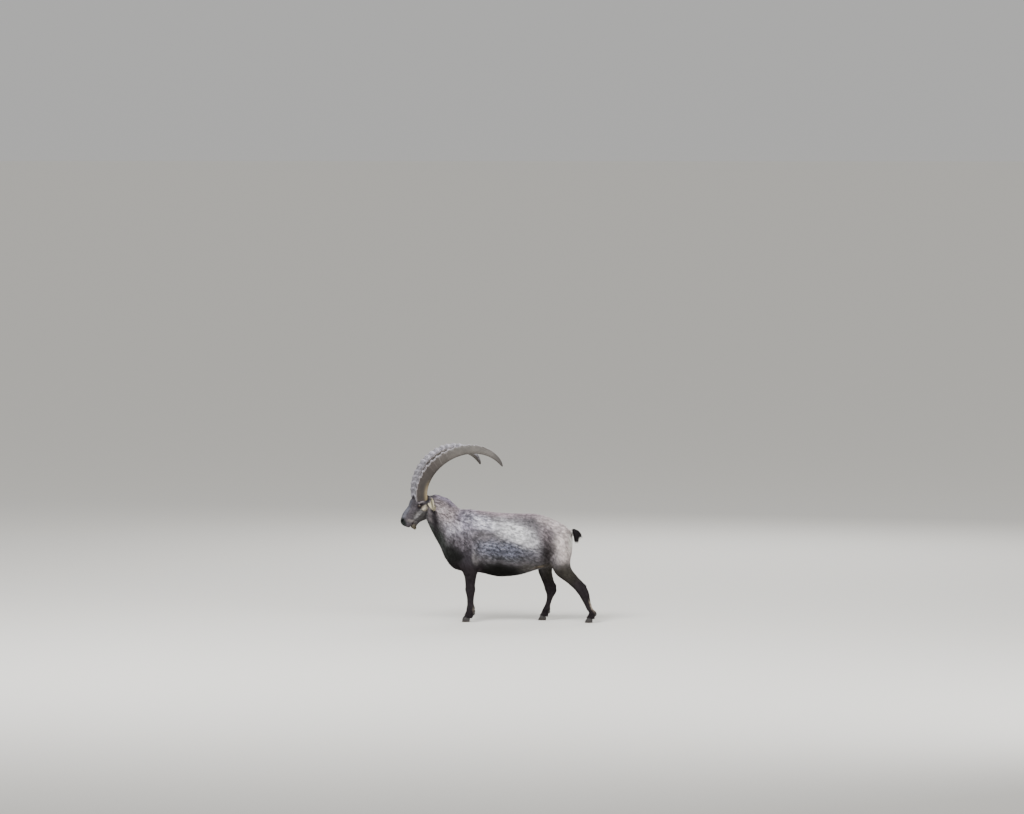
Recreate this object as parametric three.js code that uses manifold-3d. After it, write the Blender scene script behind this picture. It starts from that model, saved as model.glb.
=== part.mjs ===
// Adult male alpine ibex, standing, with its head turned a little to its left.
// Millimetres. It faces -X, its left side is -Y, and its soles rest on z = 0.

import * as THREE from 'three';
import { mergeVertices } from 'three/addons/utils/BufferGeometryUtils.js';
import Module from 'manifold-3d';

const wasm = await Module();
wasm.setup();

// Driving dimensions
const gap = 0.3;
const withers = 900;
const barrelHalfWidth = 188;
const headTurn = THREE.MathUtils.degToRad(20);
const headRoll = THREE.MathUtils.degToRad(-1.8);
const headPivot = new THREE.Vector3(-545, -24, 930);
const hornLength = 897;
const hornSweep = 172.3;
const hornLean = 100.8;
const hornDepth = 103.4;
const hornBreadth = 77;
const hornKnobs = 19;
const hornSpread = 266;
const hornBaseSide = 39.5;
const eyeRadius = 17;
const earLength = 118;
const clawLength = 62;
const clawHeight = 38;
const foreTrack = 92;
const hindTrack = 104;
const originShift = new THREE.Vector3(-0.8, -129.4, 0);

const paint = (color, roughness) => new THREE.MeshStandardMaterial({ color, roughness, metalness: 0 });
const coats = {
  trunk: paint(0x857c76, 0.9),
  dark: paint(0x2e2826, 0.9),
  face: paint(0x645a54, 0.9),
  ear: paint(0xb9ad97, 0.9),
  horn: paint(0x80746a, 0.7),
  hoof: paint(0x262220, 0.5),
  eye: paint(0x4a2e18, 0.1),
};

// A closed skin over rings of equal count, with a fan to a pole at each end, its faces turned outwards.
function skinOver(rings, firstPole, lastPole) {
  const around = rings[0].length;
  const points = [...rings.flat(), firstPole, lastPole];
  const first = rings.length * around;
  const index = [];
  for (let j = 0; j < around; j++) {
    const k = (j + 1) % around;
    index.push(first, k, j);
    const end = (rings.length - 1) * around;
    index.push(first + 1, end + j, end + k);
    for (let i = 0; i + 1 < rings.length; i++) {
      const a = i * around;
      const b = a + around;
      index.push(a + j, a + k, b + j, a + k, b + k, b + j);
    }
  }
  const geometry = new THREE.BufferGeometry();
  geometry.setAttribute('position', new THREE.Float32BufferAttribute(points.flatMap((p) => p.toArray()), 3));
  let volume = 0;
  for (let t = 0; t < index.length; t += 3) {
    const [a, b, c] = index.slice(t, t + 3).map((n) => points[n]);
    volume += a.dot(b.clone().cross(c));
  }
  geometry.setIndex(volume < 0 ? index.reverse() : index);
  return geometry;
}

function solid(geometry) {
  const position = geometry.getAttribute('position');
  return new wasm.Manifold(new wasm.Mesh({
    numProp: 3,
    vertProperties: Float32Array.from(position.array),
    triVerts: Uint32Array.from(geometry.index.array),
  }));
}

const joined = (solids) => solids.reduce((whole, piece) => whole.add(piece));

// Only the largest closed surface of a node is kept.
function largest(manifold) {
  const pieces = manifold.decompose();
  return pieces.reduce((best, piece) => (piece.volume() > best.volume() ? piece : best));
}

function node(name, manifold, material) {
  const mesh = largest(manifold).getMesh();
  const geometry = new THREE.BufferGeometry();
  geometry.setAttribute('position', new THREE.BufferAttribute(Float32Array.from(mesh.vertProperties), 3));
  geometry.setIndex(new THREE.BufferAttribute(Uint32Array.from(mesh.triVerts), 1));
  geometry.computeVertexNormals();
  const part = new THREE.Mesh(geometry, material);
  part.name = name;
  return part;
}

// One station of a body form: a and b are the two outline points [x, z] that its ring runs between,
// w the half width, y the middle, f how far from b to a the widest place lies, e the squareness
// (1 an ellipse, less is squarer) and k how much the side towards a narrows.
const station = (a, b, w, { y = 0, f = 0.5, e = 0.9, k = 0 } = {}) => ({ a, b, w, y, f, e, k });

// A smooth closed form through stations, with rings spaced evenly between them, its skin moved out
// by grow.
function form(stations, ringsPerStation, around, poles = [6, 6], grow = 0) {
  const curve = (pick) => new THREE.CatmullRomCurve3(stations.map(pick), false, 'centripetal');
  const edgeA = curve((s) => new THREE.Vector3(...s.a, s.w));
  const edgeB = curve((s) => new THREE.Vector3(...s.b, s.y));
  const shape = curve((s) => new THREE.Vector3(s.f, s.e, s.k));
  const count = (stations.length - 1) * ringsPerStation;
  const rings = [];
  const middles = [];
  for (let i = 0; i <= count; i++) {
    const a = edgeA.getPoint(i / count);
    const b = edgeB.getPoint(i / count);
    const { x: f, y: e, z: k } = shape.getPoint(i / count);
    const power = (v) => Math.sign(v) * Math.abs(v) ** e;
    const ring = [];
    for (let j = 0; j < around; j++) {
      const turn = (2 * Math.PI * j) / around;
      const c = power(Math.cos(turn));
      const along = c > 0 ? f + (1 - f) * c : f + f * c;
      const side = a.z * power(Math.sin(turn)) * (1 - k * Math.max(0, c));
      ring.push(new THREE.Vector3(b.x + (a.x - b.x) * along, b.z + side, b.y + (a.y - b.y) * along));
    }
    const middle = new THREE.Vector3((a.x + b.x) / 2, b.z, (a.y + b.y) / 2);
    for (const point of ring) point.add(point.clone().sub(middle).setLength(grow));
    rings.push(ring);
    middles.push(middle);
  }
  const beyond = (from, to, reach) => to.clone().add(to.clone().sub(from).setLength(reach + grow));
  const firstPole = beyond(middles[1], middles[0], poles[0]);
  const lastPole = beyond(middles[count - 1], middles[count], poles[1]);
  return skinOver(rings, firstPole, lastPole);
}

// An ellipsoid with half sizes along x, y and z, then leant about the Y axis.
function ball(centre, sizes, lean = 0, detail = 12) {
  const geometry = new THREE.SphereGeometry(1, detail, Math.round(detail * 0.7));
  geometry.deleteAttribute('normal');
  geometry.deleteAttribute('uv');
  const merged = mergeVertices(geometry, 1e-5);
  merged.scale(...sizes);
  merged.rotateY(lean);
  merged.translate(...centre);
  return merged;
}

// A prism across the animal over an outline in side view, from y0 to y1.
function acrossPrism(outline, y0, y1) {
  const shape = new THREE.Shape(outline.map(([x, z]) => new THREE.Vector2(x, z)));
  const geometry = new THREE.ExtrudeGeometry(shape, { depth: y1 - y0, bevelEnabled: false });
  geometry.deleteAttribute('normal');
  geometry.deleteAttribute('uv');
  geometry.rotateX(Math.PI / 2);
  geometry.translate(0, y1, 0);
  return mergeVertices(geometry, 1e-4);
}

// The outline of a round-topped strip from its top centre along to its foot.
function strip(top, foot, reach) {
  const axis = new THREE.Vector2(foot[0] - top[0], foot[1] - top[1]);
  const start = axis.angle() + Math.PI / 2;
  const outline = [];
  for (let i = 0; i <= 12; i++) {
    const turn = start + (Math.PI * i) / 12;
    outline.push([top[0] + reach * Math.cos(turn), top[1] + reach * Math.sin(turn)]);
  }
  const side = axis.clone().rotateAround(new THREE.Vector2(), Math.PI / 2).setLength(reach);
  outline.push([foot[0] - side.x, foot[1] - side.y], [foot[0] + side.x, foot[1] + side.y]);
  return outline;
}

// The head is shaped facing straight ahead, then rolled a little about its own length and turned
// about an upright axis at the nape. Its lengths are drawn as seen from the side once turned, so
// they are stretched back first.
const headPlace = new THREE.Matrix4()
  .makeTranslation(headPivot)
  .multiply(new THREE.Matrix4().makeRotationZ(headTurn))
  .multiply(new THREE.Matrix4().makeRotationX(headRoll))
  .multiply(new THREE.Matrix4().makeTranslation(-headPivot.x, 0, -headPivot.z));
const inHead = (geometry) => geometry.applyMatrix4(headPlace);
const ahead = (x) => headPivot.x + (x - headPivot.x) / Math.cos(headTurn);
const headStation = (a, b, w, more) => station([ahead(a[0]), a[1]], [ahead(b[0]), b[1]], w, more);

// Trunk and neck, from the rump along the back to the throat: top line, under line, half width.
const trunkForm = (grow = 0) => form([
  station([566, 728], [590, 650], 40),
  station([536, 765], [588, 570], 92, { e: 0.95 }),
  station([493, 794], [520, 480], 128, { f: 0.5, k: 0.1 }),
  station([400, 838], [420, 440], 146, { f: 0.5, k: 0.15 }),
  station([290, 866], [300, 408], 160, { f: 0.48, k: 0.15 }),
  station([150, 869], [150, 366], 178, { f: 0.44, k: 0.15 }),
  station([0, 875], [-10, 356], barrelHalfWidth, { f: 0.42, k: 0.15 }),
  station([-130, 888], [-150, 384], 180, { f: 0.42, k: 0.2 }),
  station([-240, withers], [-275, 392], 158, { f: 0.44, k: 0.25 }),
  station([-315, 906], [-370, 422], 142, { f: 0.46, y: -2, k: 0.3 }),
  station([-358, 944], [-428, 492], 122, { f: 0.46, y: -5, k: 0.3 }),
  station([-408, 985], [-478, 600], 104, { f: 0.48, y: -9, k: 0.25 }),
  station([-460, 1005], [-530, 695], 90, { y: -14, k: 0.15 }),
  station([-520, 1018], [-575, 790], 76, { y: -20, k: 0.1 }),
  station([-580, 990], [-598, 850], 55, { y: -34 }),
], 2, 28, [6, 6], grow);

// Skull and muzzle, from the poll to the lips: brow line, jaw line, half width.
const headForm = () => inHead(form([
  headStation([-560, 1006], [-548, 915], 38),
  headStation([-592, 1024], [-556, 872], 57, { e: 0.8 }),
  headStation([-630, 1026], [-572, 832], 68, { f: 0.56, e: 0.74 }),
  headStation([-668, 1008], [-588, 812], 71, { f: 0.62, e: 0.74 }),
  headStation([-702, 972], [-612, 804], 66, { f: 0.66, e: 0.8 }),
  headStation([-722, 926], [-634, 792], 52, { f: 0.6 }),
  headStation([-748, 893], [-652, 774], 43, { f: 0.55 }),
  headStation([-768, 862], [-664, 752], 38, { f: 0.52 }),
  headStation([-778, 832], [-680, 741], 36),
  headStation([-782, 806], [-706, 748], 34),
  headStation([-776, 784], [-738, 758], 25),
], 3, 24));

// Legs: front edge, back edge, half width, middle.
function foreLeg(side, shift) {
  const at = (front, back, w, y) => station(
    [front[0] + shift, front[1]], [back[0] + shift, back[1]], w, { y: side * y });
  return form([
    at([-330, 690], [-240, 700], 30, 92),
    at([-352, 600], [-178, 610], 56, 98),
    at([-338, 500], [-156, 500], 60, 102),
    at([-300, 420], [-154, 425], 52, 102),
    at([-276, 362], [-170, 365], 40, 98),
    at([-266, 295], [-184, 295], 33, 95),
    at([-262, 238], [-187, 236], 33, foreTrack),
    at([-254, 196], [-193, 192], 26, foreTrack),
    at([-252, 140], [-197, 138], 23, foreTrack),
    at([-256, 94], [-190, 88], 28, foreTrack),
    at([-264, 62], [-200, 52], 25, foreTrack),
    at([-276, 40], [-208, 30], 27, foreTrack),
  ], 2, 14, [6, 1]);
}

// The left hind leg is stretched back and the right one stands forward under the belly.
function hindLegBack(side) {
  const at = (front, back, w, y) => station(front, back, w, { y: side * y });
  return form([
    at([450, 720], [540, 735], 34, 78),
    at([414, 640], [584, 668], 64, 88),
    at([404, 550], [594, 570], 78, 92),
    at([416, 460], [582, 480], 72, 96),
    at([462, 378], [592, 430], 52, 100),
    at([552, 312], [640, 368], 38, hindTrack),
    at([628, 240], [692, 308], 32, hindTrack),
    at([664, 182], [724, 246], 31, hindTrack),
    at([688, 138], [738, 172], 24, hindTrack),
    at([705, 104], [754, 118], 23, hindTrack),
    at([722, 80], [782, 76], 28, hindTrack),
    at([712, 56], [772, 46], 25, hindTrack),
    at([702, 40], [770, 30], 27, hindTrack),
  ], 2, 14, [6, 1]);
}

function hindLegForward(side) {
  const at = (front, back, w, y) => station(front, back, w, { y: side * y });
  return form([
    at([430, 720], [530, 735], 34, 78),
    at([392, 640], [572, 672], 64, 88),
    at([356, 550], [566, 580], 78, 92),
    at([316, 460], [492, 480], 72, 96),
    at([306, 394], [430, 416], 52, 100),
    at([336, 316], [434, 338], 38, hindTrack),
    at([360, 254], [450, 284], 32, hindTrack),
    at([374, 205], [458, 236], 31, hindTrack),
    at([372, 158], [428, 176], 24, hindTrack),
    at([358, 116], [410, 126], 23, hindTrack),
    at([342, 84], [404, 84], 28, hindTrack),
    at([332, 58], [392, 50], 25, hindTrack),
    at([320, 40], [388, 30], 27, hindTrack),
  ], 2, 14, [6, 1]);
}

// One hoof claw: a flat sole, a sloping toe and a low heel. toe is the front end of the sole.
function claw(toe, y, grow = 0) {
  const level = (z, front, back, w) => station(
    [toe + front - grow, z], [toe + back + grow, z + (z > 0 ? grow : 0)], w + grow, { y, f: 0.42, e: 0.85 });
  return form([
    level(0, 0, clawLength, 12.2),
    level(clawHeight * 0.4, 4, clawLength + 1, 12.8),
    level(clawHeight * 0.8, 15, clawLength - 2, 12),
    level(clawHeight, 24, clawLength - 10, 8),
  ], 1, 10, [0.001, 1.5 + grow]);
}

// One dewclaw behind the pastern, pointing down.
function dewclaw(x, y, z, grow = 0) {
  return ball([x, y, z], [9 + grow, 7.5 + grow, 14 + grow], 0.35, 6);
}

// A flat, tapered lock of hair whose broad face looks outward. It leaves its root along lie and
// bends towards fall as it grows.
function lock(root, lie, fall, outward, length, breadth, thickness) {
  const steps = 4;
  const heading = lie.clone().normalize();
  const rings = [];
  const place = root.clone();
  for (let i = 0; i < steps; i++) {
    const t = i / steps;
    const across = outward.clone().cross(heading).normalize();
    const out = heading.clone().cross(across).normalize();
    const taper = (1 - t ** 2.4) * (0.8 + 0.9 * t - 0.6 * t * t);
    rings.push([[1, 0], [0, 1], [-1, 0], [0, -1]].map(([u, v]) => place.clone()
      .addScaledVector(across, breadth * 0.5 * taper * u)
      .addScaledVector(out, thickness * 0.5 * taper * v)));
    place.addScaledVector(heading, length / steps);
    heading.lerp(fall, 0.35).normalize();
  }
  return skinOver(rings, root.clone().addScaledVector(lie, -thickness * 0.3), place);
}

// Seeded random numbers from 0 to 1.
function drawer(seed) {
  let state = seed;
  return () => {
    state = (state * 1664525 + 1013904223) % 4294967296;
    return state / 4294967296;
  };
}

// The middle line of a horn: it leaves the brow leaning a little forwards and turns back by hornSweep
// degrees, fastest near its root and its tip, while it spreads sideways.
function hornLine(side) {
  const steps = 60;
  const points = [];
  const place = new THREE.Vector3(-634.5, 0, 978);
  for (let i = 0; i <= steps; i++) {
    const t = i / steps;
    const spread = hornBaseSide + hornSpread * (1.1 * t - 0.1 * t * t);
    points.push(new THREE.Vector3(place.x, side * spread, place.z));
    const turned = hornSweep * (1.29 * t - 1.31 * t * t + 1.02 * t ** 3);
    const heading = THREE.MathUtils.degToRad(hornLean - turned);
    place.x += (Math.cos(heading) * hornLength) / steps;
    place.z += (Math.sin(heading) * hornLength) / steps;
  }
  return new THREE.CatmullRomCurve3(points, false, 'centripetal');
}

// A horn from share `from` to share `to` of its line. Its front face is broad and carries knobs,
// its sides run back to a narrower rounded edge.
function horn(side, from, to, grow) {
  const line = hornLine(side);
  const around = 12;
  const ringCount = Math.round(73 * (to - from));
  const rings = [];
  const frame = (t) => {
    const centre = line.getPointAt(t);
    const along = line.getTangentAt(t);
    const outward = new THREE.Vector3(0, side, 0).addScaledVector(along, -side * along.y).normalize();
    const twist = side * THREE.MathUtils.degToRad(8 + 15 * t);
    outward.applyAxisAngle(along, twist);
    const front = along.clone().cross(outward).multiplyScalar(side).normalize();
    return { centre, front, outward };
  };
  for (let i = 0; i <= ringCount; i++) {
    const t = from + ((to - from) * i) / ringCount;
    const { centre, front, outward } = frame(t);
    const thin = (1 - t ** 5) ** 0.5 * (1 - 0.45 * t + 0.1 * t * t);
    const knobs = Math.max(0, Math.sin(Math.PI * Math.min(1, t / 0.84))) ** 0.4;
    const phase = hornKnobs * t ** 0.92;
    const knob = 7.5 * knobs * Math.max(0, Math.cos(2 * Math.PI * phase)) ** 1.2;
    const ring = [];
    for (let j = 0; j < around; j++) {
      const turn = (2 * Math.PI * j) / around;
      const c = Math.cos(turn);
      const s = Math.sin(turn);
      const forward = Math.sign(c) * Math.abs(c) ** 0.7;
      const broad = Math.sign(s) * Math.abs(s) ** 0.8 * (0.86 + 0.22 * forward);
      const reachFront = hornDepth * 0.5 * thin * forward + knob * Math.min(1, Math.max(0, 2 * c));
      const reachSide = hornBreadth * 0.5 * thin * broad;
      ring.push(centre.clone()
        .addScaledVector(front, reachFront + grow * forward)
        .addScaledVector(outward, reachSide + grow * broad));
    }
    rings.push(ring);
  }
  const firstPole = line.getPointAt(from).addScaledVector(line.getTangentAt(from), -3 - grow);
  const lastPole = line.getPointAt(to).addScaledVector(line.getTangentAt(to), to < 1 ? 3 + grow : 4);
  return inHead(skinOver(rings, firstPole, lastPole));
}

// A cupped ear: crescent rings along a line that leaves the skull behind the horn and hangs back,
// the hollow of the cup facing outwards and forwards. Up to the share filledTo the cup is closed.
function ear(side, grow = 0, filledTo = 0.22) {
  const root = new THREE.Vector3(ahead(-571), side * 60.5, 994);
  const tip = new THREE.Vector3(ahead(-556), side * 122, 892);
  const along = tip.clone().sub(root).normalize();
  const mouth = new THREE.Vector3(-0.75, side * 0.62, 0.1);
  mouth.addScaledVector(along, -mouth.dot(along)).normalize();
  const across = along.clone().cross(mouth).normalize();
  const ringCount = 11;
  const half = 7;
  const rings = [];
  for (let i = 0; i < ringCount; i++) {
    const t = i / (ringCount - 1);
    const breadth = (9 + 23 * Math.sin(Math.PI * Math.min(1, t * 0.86 + 0.1)) ** 1.1) * (1 - 0.25 * t * t);
    const depth = breadth * (0.95 - 0.45 * t);
    const wall = 5.5 - 2 * t;
    const centre = root.clone().addScaledVector(along, earLength * t * 0.97);
    const ring = [];
    for (let j = 0; j <= half; j++) {
      const turn = Math.PI * (0.06 + (0.88 * j) / half);
      ring.push(centre.clone()
        .addScaledVector(across, (breadth + grow) * Math.cos(turn))
        .addScaledVector(mouth, depth * 0.45 - (depth + grow) * Math.sin(turn)));
    }
    const filled = Math.max(0, 1 - t / filledTo);
    for (let j = half - 1; j > 0; j--) {
      const turn = Math.PI * (0.06 + (0.88 * j) / half);
      const inner = (depth - wall) * Math.sin(turn) * (1 - filled) - filled * depth * 0.35 * Math.sin(turn);
      ring.push(centre.clone()
        .addScaledVector(across, (breadth - wall * 0.6 + grow) * Math.cos(turn))
        .addScaledVector(mouth, depth * 0.45 - inner + 2 * grow));
    }
    rings.push(ring);
  }
  const firstPole = root.clone().addScaledVector(along, -3 - 2 * grow);
  const lastPole = root.clone().addScaledVector(along, earLength);
  return inHead(skinOver(rings, firstPole, lastPole));
}

const eyePlace = (side) => [ahead(-650), side * 57, 927];
const eyeBall = (side, radius) => inHead(ball(eyePlace(side), [radius, radius, radius], 0, 12));

// Both lids round one eye, as a shell over the ball, and the almond opening that is cut in it.
const lids = (side) => inHead(ball(eyePlace(side), [27, 23, 19], 0.4, 12));
function lidOpening(side) {
  const [x, y, z] = eyePlace(side);
  return inHead(ball([x - 1, y + side * 24, z - 1], [16.5, 18, 11], 0.35, 12));
}

// The bony brow over one eye.
const brow = (side) => inHead(ball([ahead(-643), side * 55, 950], [33, 25, 14], 0.15, 8));

// The slanting nostril opening on one side of the nose.
const nostril = (side) => inHead(ball([ahead(-771), side * 20, 808], [10, 10, 5.5], 0.9, 8));

// The lower jaw in front of the corner of the mouth, in side view. The mouth line is a narrow
// wedge, closed at its corner, that opens to a notch of mouthGape between lip and chin.
const mouthCorner = [-688, 807];
const mouthGape = 16;
const jawOutline = (grow) => [
  [ahead(mouthCorner[0]) + grow * 0.5, mouthCorner[1] + grow * 1.5],
  [ahead(-713) - (grow > 0 ? mouthGape : 0), 730],
  [ahead(-660), 690],
  [ahead(-630), 750 + grow],
];
const jawCutter = (grow) => inHead(acrossPrism(jawOutline(grow), -100, 100));

// The rounded lower lip and chin.
const chin = () => inHead(ball([ahead(-686), 0, 763], [20, 25, 21], -0.5, 12));

// The fleshy root of the short tail, sunk in the rump: upper line, under line, half width.
const tailRoot = (grow) => form([
  station([548, 744], [556, 708], 13),
  station([580, 746], [578, 698], 18),
  station([604, 736], [598, 694], 14),
  station([618, 722], [612, 704], 7),
], 2, 10, [5, 4], grow);

// The tail's long hair: rows of locks that leave its root backwards and hang down behind the rump.
function tailLocks() {
  const draw = drawer(5);
  const line = new THREE.CatmullRomCurve3([
    new THREE.Vector3(584, 0, 726), new THREE.Vector3(596, 0, 722), new THREE.Vector3(608, 0, 717)]);
  const locks = [];
  for (const [row, count] of [[0, 5], [1, 4], [2, 3]]) {
    for (let i = 0; i < count; i++) {
      const turn = Math.PI * (-0.12 + (1.24 * (i + 0.25 * (row % 2))) / (count - 1));
      const outward = new THREE.Vector3(0.25, Math.cos(turn), Math.sin(turn)).normalize();
      const root = line.getPoint(row / 2).addScaledVector(outward, 9 - 2 * row);
      const high = Math.max(0, Math.sin(turn));
      const lie = new THREE.Vector3(0.35 + 0.6 * high, 0, 0.55 * high - 0.6);
      lie.addScaledVector(outward, 0.25 + 0.1 * draw()).normalize();
      const fall = new THREE.Vector3(0.12 + 0.05 * high, 0.1 * Math.cos(turn), -0.96).normalize();
      const geometry = lock(root, lie, fall, outward, 76 - 3 * high - 6 * row + 8 * draw(), 31, 9);
      locks.push(solid(geometry));
    }
  }
  return joined(locks).subtract(solid(trunkForm(1)));
}

// The short beard: a ring of locks under the chin round two middle ones.
function beard() {
  const draw = drawer(11);
  const locks = [];
  for (let i = 0; i < 10; i++) {
    const turn = (2 * Math.PI * i) / 8;
    const wide = i < 8 ? 1 : 0.2;
    const outward = new THREE.Vector3(Math.cos(turn), Math.sin(turn), 0);
    const root = new THREE.Vector3(ahead(-678) + 12 * wide * outward.x, 11 * wide * outward.y, 757);
    const lie = new THREE.Vector3(0.25, 0, -1).addScaledVector(outward, 0.2).normalize();
    const fall = new THREE.Vector3(0.5, 0, -0.85).addScaledVector(outward, -0.12).normalize();
    const geometry = lock(root, lie, fall, outward, 31 + 7 * draw(), 15, 6);
    locks.push(solid(inHead(geometry)));
  }
  return joined(locks);
}

const sides = { left: -1, right: 1 };
const figure = new THREE.Group();

// Flesh as one solid, parted below
const foreLegs = { left: solid(foreLeg(-1, 0)), right: solid(foreLeg(1, -9)) };
const hindLegs = { left: solid(hindLegBack(-1)), right: solid(hindLegForward(1)) };
let flesh = joined([
  solid(trunkForm()), solid(headForm()), ...Object.values(foreLegs), ...Object.values(hindLegs),
  solid(chin()), ...Object.values(sides).flatMap((side) => (
    [solid(lids(side)), solid(brow(side))])),
]);
flesh = flesh.subtract(solid(tailRoot(gap)));

const feet = [
  { name: 'fore_left', toe: -292, y: -foreTrack, heel: -196 },
  { name: 'fore_right', toe: -301, y: foreTrack, heel: -205 },
  { name: 'hind_left', toe: 690, y: -hindTrack, heel: 776 },
  { name: 'hind_right', toe: 308, y: hindTrack, heel: 396 },
];
for (const foot of feet) {
  for (const [place, step] of [['inner', -1], ['outer', 1]]) {
    const y = foot.y + step * Math.sign(foot.y) * 13.6;
    figure.add(node(`claw_${foot.name}_${place}`, solid(claw(foot.toe, y)), coats.hoof));
    flesh = flesh.subtract(solid(claw(foot.toe, y, gap)));
    const dewY = foot.y + step * Math.sign(foot.y) * 12;
    figure.add(node(`dewclaw_${foot.name}_${place}`, solid(dewclaw(foot.heel, dewY, 66)), coats.hoof));
    flesh = flesh.subtract(solid(dewclaw(foot.heel, dewY, 66, gap)));
  }
}

for (const [name, side] of Object.entries(sides)) {
  figure.add(node(`horn_${name}`, solid(horn(side, 0, 1, 0)), coats.horn));
  figure.add(node(`ear_${name}`, solid(ear(side)), coats.ear));
  figure.add(node(`eye_${name}`, solid(eyeBall(side, eyeRadius)), coats.eye));
  flesh = flesh
    .subtract(solid(horn(side, 0, 0.16, gap)))
    .subtract(solid(ear(side, gap, 50)))
    .subtract(solid(eyeBall(side, eyeRadius + gap)))
    .subtract(solid(lidOpening(side)))
    .subtract(solid(nostril(side)));
}

// Each leg is a round-topped strip of the flesh outside a plane beside the middle.
const legCuts = {
  leg_fore_left: { side: -1, inner: 52, top: [-252, 590], foot: [-226, -30], reach: 112 },
  leg_fore_right: { side: 1, inner: 52, top: [-261, 590], foot: [-235, -30], reach: 112 },
  leg_hind_left: { side: -1, inner: 40, top: [505, 600], foot: [712, -30], reach: 132 },
  leg_hind_right: { side: 1, inner: 40, top: [470, 600], foot: [372, -30], reach: 138 },
};
for (const [name, { side, inner, top, foot, reach }] of Object.entries(legCuts)) {
  const cutter = (grow) => {
    const [y0, y1] = [side * (inner - grow), side * 400].sort((p, q) => p - q);
    return solid(acrossPrism(strip(top, foot, reach + grow), y0, y1));
  };
  figure.add(node(name, flesh.intersect(cutter(0)), coats.dark));
  flesh = flesh.subtract(cutter(gap));
}

// Neck and head are parted from the trunk by planes that run from top line to under line. This is
// all that lies behind such a plane, moved back by shift.
function behind(top, low, shift) {
  const reach = 1500;
  const down = new THREE.Vector2(low[0] - top[0], low[1] - top[1]).setLength(reach);
  const back = down.clone().rotateAround(new THREE.Vector2(), Math.PI / 2);
  const middle = new THREE.Vector2(...top).addScaledVector(back, shift / reach);
  const corners = [[-1, 0], [1, 0], [1, 1], [-1, 1]].map(([u, v]) => (
    [middle.x + down.x * u + back.x * v, middle.y + down.y * u + back.y * v]));
  return solid(acrossPrism(corners, -400, 400));
}
const neckCut = [[-318, 912], [-408, 470]];
const headCut = [[-540, 1040], [-592, 800]];
const trunk = flesh.intersect(behind(...neckCut, 0));
const front = flesh.subtract(behind(...neckCut, -gap));
const neck = front.intersect(behind(...headCut, 0));
const face = front.subtract(behind(...headCut, -gap));
const head = face.subtract(solid(jawCutter(gap)));
const jaw = face.intersect(solid(jawCutter(0))).add(beard());
figure.add(node('tail', solid(tailRoot(0)).add(tailLocks()), coats.dark));
figure.add(node('torso', trunk, coats.trunk));
figure.add(node('neck', neck, coats.trunk));
figure.add(node('head', head, coats.face));
figure.add(node('lower_jaw', jaw, coats.face));

figure.position.copy(originShift);
const group = new THREE.Group();
group.add(figure);

export default group;
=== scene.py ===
"""The visual model of a life-size alpine ibex: one skin with its coat, horns, eyes and claws.

Every form is worked out in the part's own millimetres, in which the animal faces -X, its left side
is -Y and its soles rest on z = 0, and is moved to the frame's metres when its mesh is made.
"""

import math

import bpy
import numpy as np
from bpy.props import FloatProperty, FloatVectorProperty, IntProperty, PointerProperty
from mathutils import Matrix, Vector


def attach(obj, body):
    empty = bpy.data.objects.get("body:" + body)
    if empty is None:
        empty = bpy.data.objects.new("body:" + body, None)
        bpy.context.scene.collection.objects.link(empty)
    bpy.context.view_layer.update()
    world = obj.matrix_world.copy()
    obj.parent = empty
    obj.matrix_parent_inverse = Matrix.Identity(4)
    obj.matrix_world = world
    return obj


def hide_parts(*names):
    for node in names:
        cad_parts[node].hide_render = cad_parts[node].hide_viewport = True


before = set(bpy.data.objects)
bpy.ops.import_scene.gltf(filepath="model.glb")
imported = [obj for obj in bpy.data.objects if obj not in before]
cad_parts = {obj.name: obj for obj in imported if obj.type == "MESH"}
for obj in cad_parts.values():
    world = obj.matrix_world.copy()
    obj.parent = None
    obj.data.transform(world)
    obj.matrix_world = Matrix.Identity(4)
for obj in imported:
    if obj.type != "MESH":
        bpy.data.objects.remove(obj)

bl_info = {
    "name": "Alpine Ibex",
    "version": (1, 0, 0),
    "blender": (4, 5, 0),
    "location": "3D View > Sidebar > Ibex",
    "description": "Builds the skin, coat, horns, eyes and claws of a standing alpine ibex",
    "category": "Add Mesh",
}

# From the part's own place to the frame's, in mm.
SHIFT = np.array([-0.8, -129.4, 0.0])
SIDES = {"left": -1.0, "right": 1.0}

# The head is shaped facing straight ahead and then turned and rolled about the nape.
HEAD_TURN = math.radians(20)
HEAD_ROLL = math.radians(-1.8)
HEAD_PIVOT = np.array([-545.0, -24.0, 930.0])
HEAD_AXES = np.array(Matrix.Rotation(HEAD_TURN, 3, "Z") @ Matrix.Rotation(HEAD_ROLL, 3, "X"))


def to_world(points):
    return (points + SHIFT) * 0.001


def head_place(points):
    """Turns points of the straight head about the nape into their place on the animal."""
    return (points - HEAD_PIVOT * [1, 0, 1]) @ HEAD_AXES.T + HEAD_PIVOT


def head_local(points):
    """The inverse of head_place."""
    return (points - HEAD_PIVOT) @ HEAD_AXES + HEAD_PIVOT * [1, 0, 1]


def ahead(x):
    """The straight head's length for a length drawn in side view of the turned head."""
    return HEAD_PIVOT[0] + (x - HEAD_PIVOT[0]) / math.cos(HEAD_TURN)


def on_head(place, side):
    """A place drawn in side view, off the middle by its y, as a point of the straight head."""
    return np.array([ahead(place[0]), side * place[1], place[2]])


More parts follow.
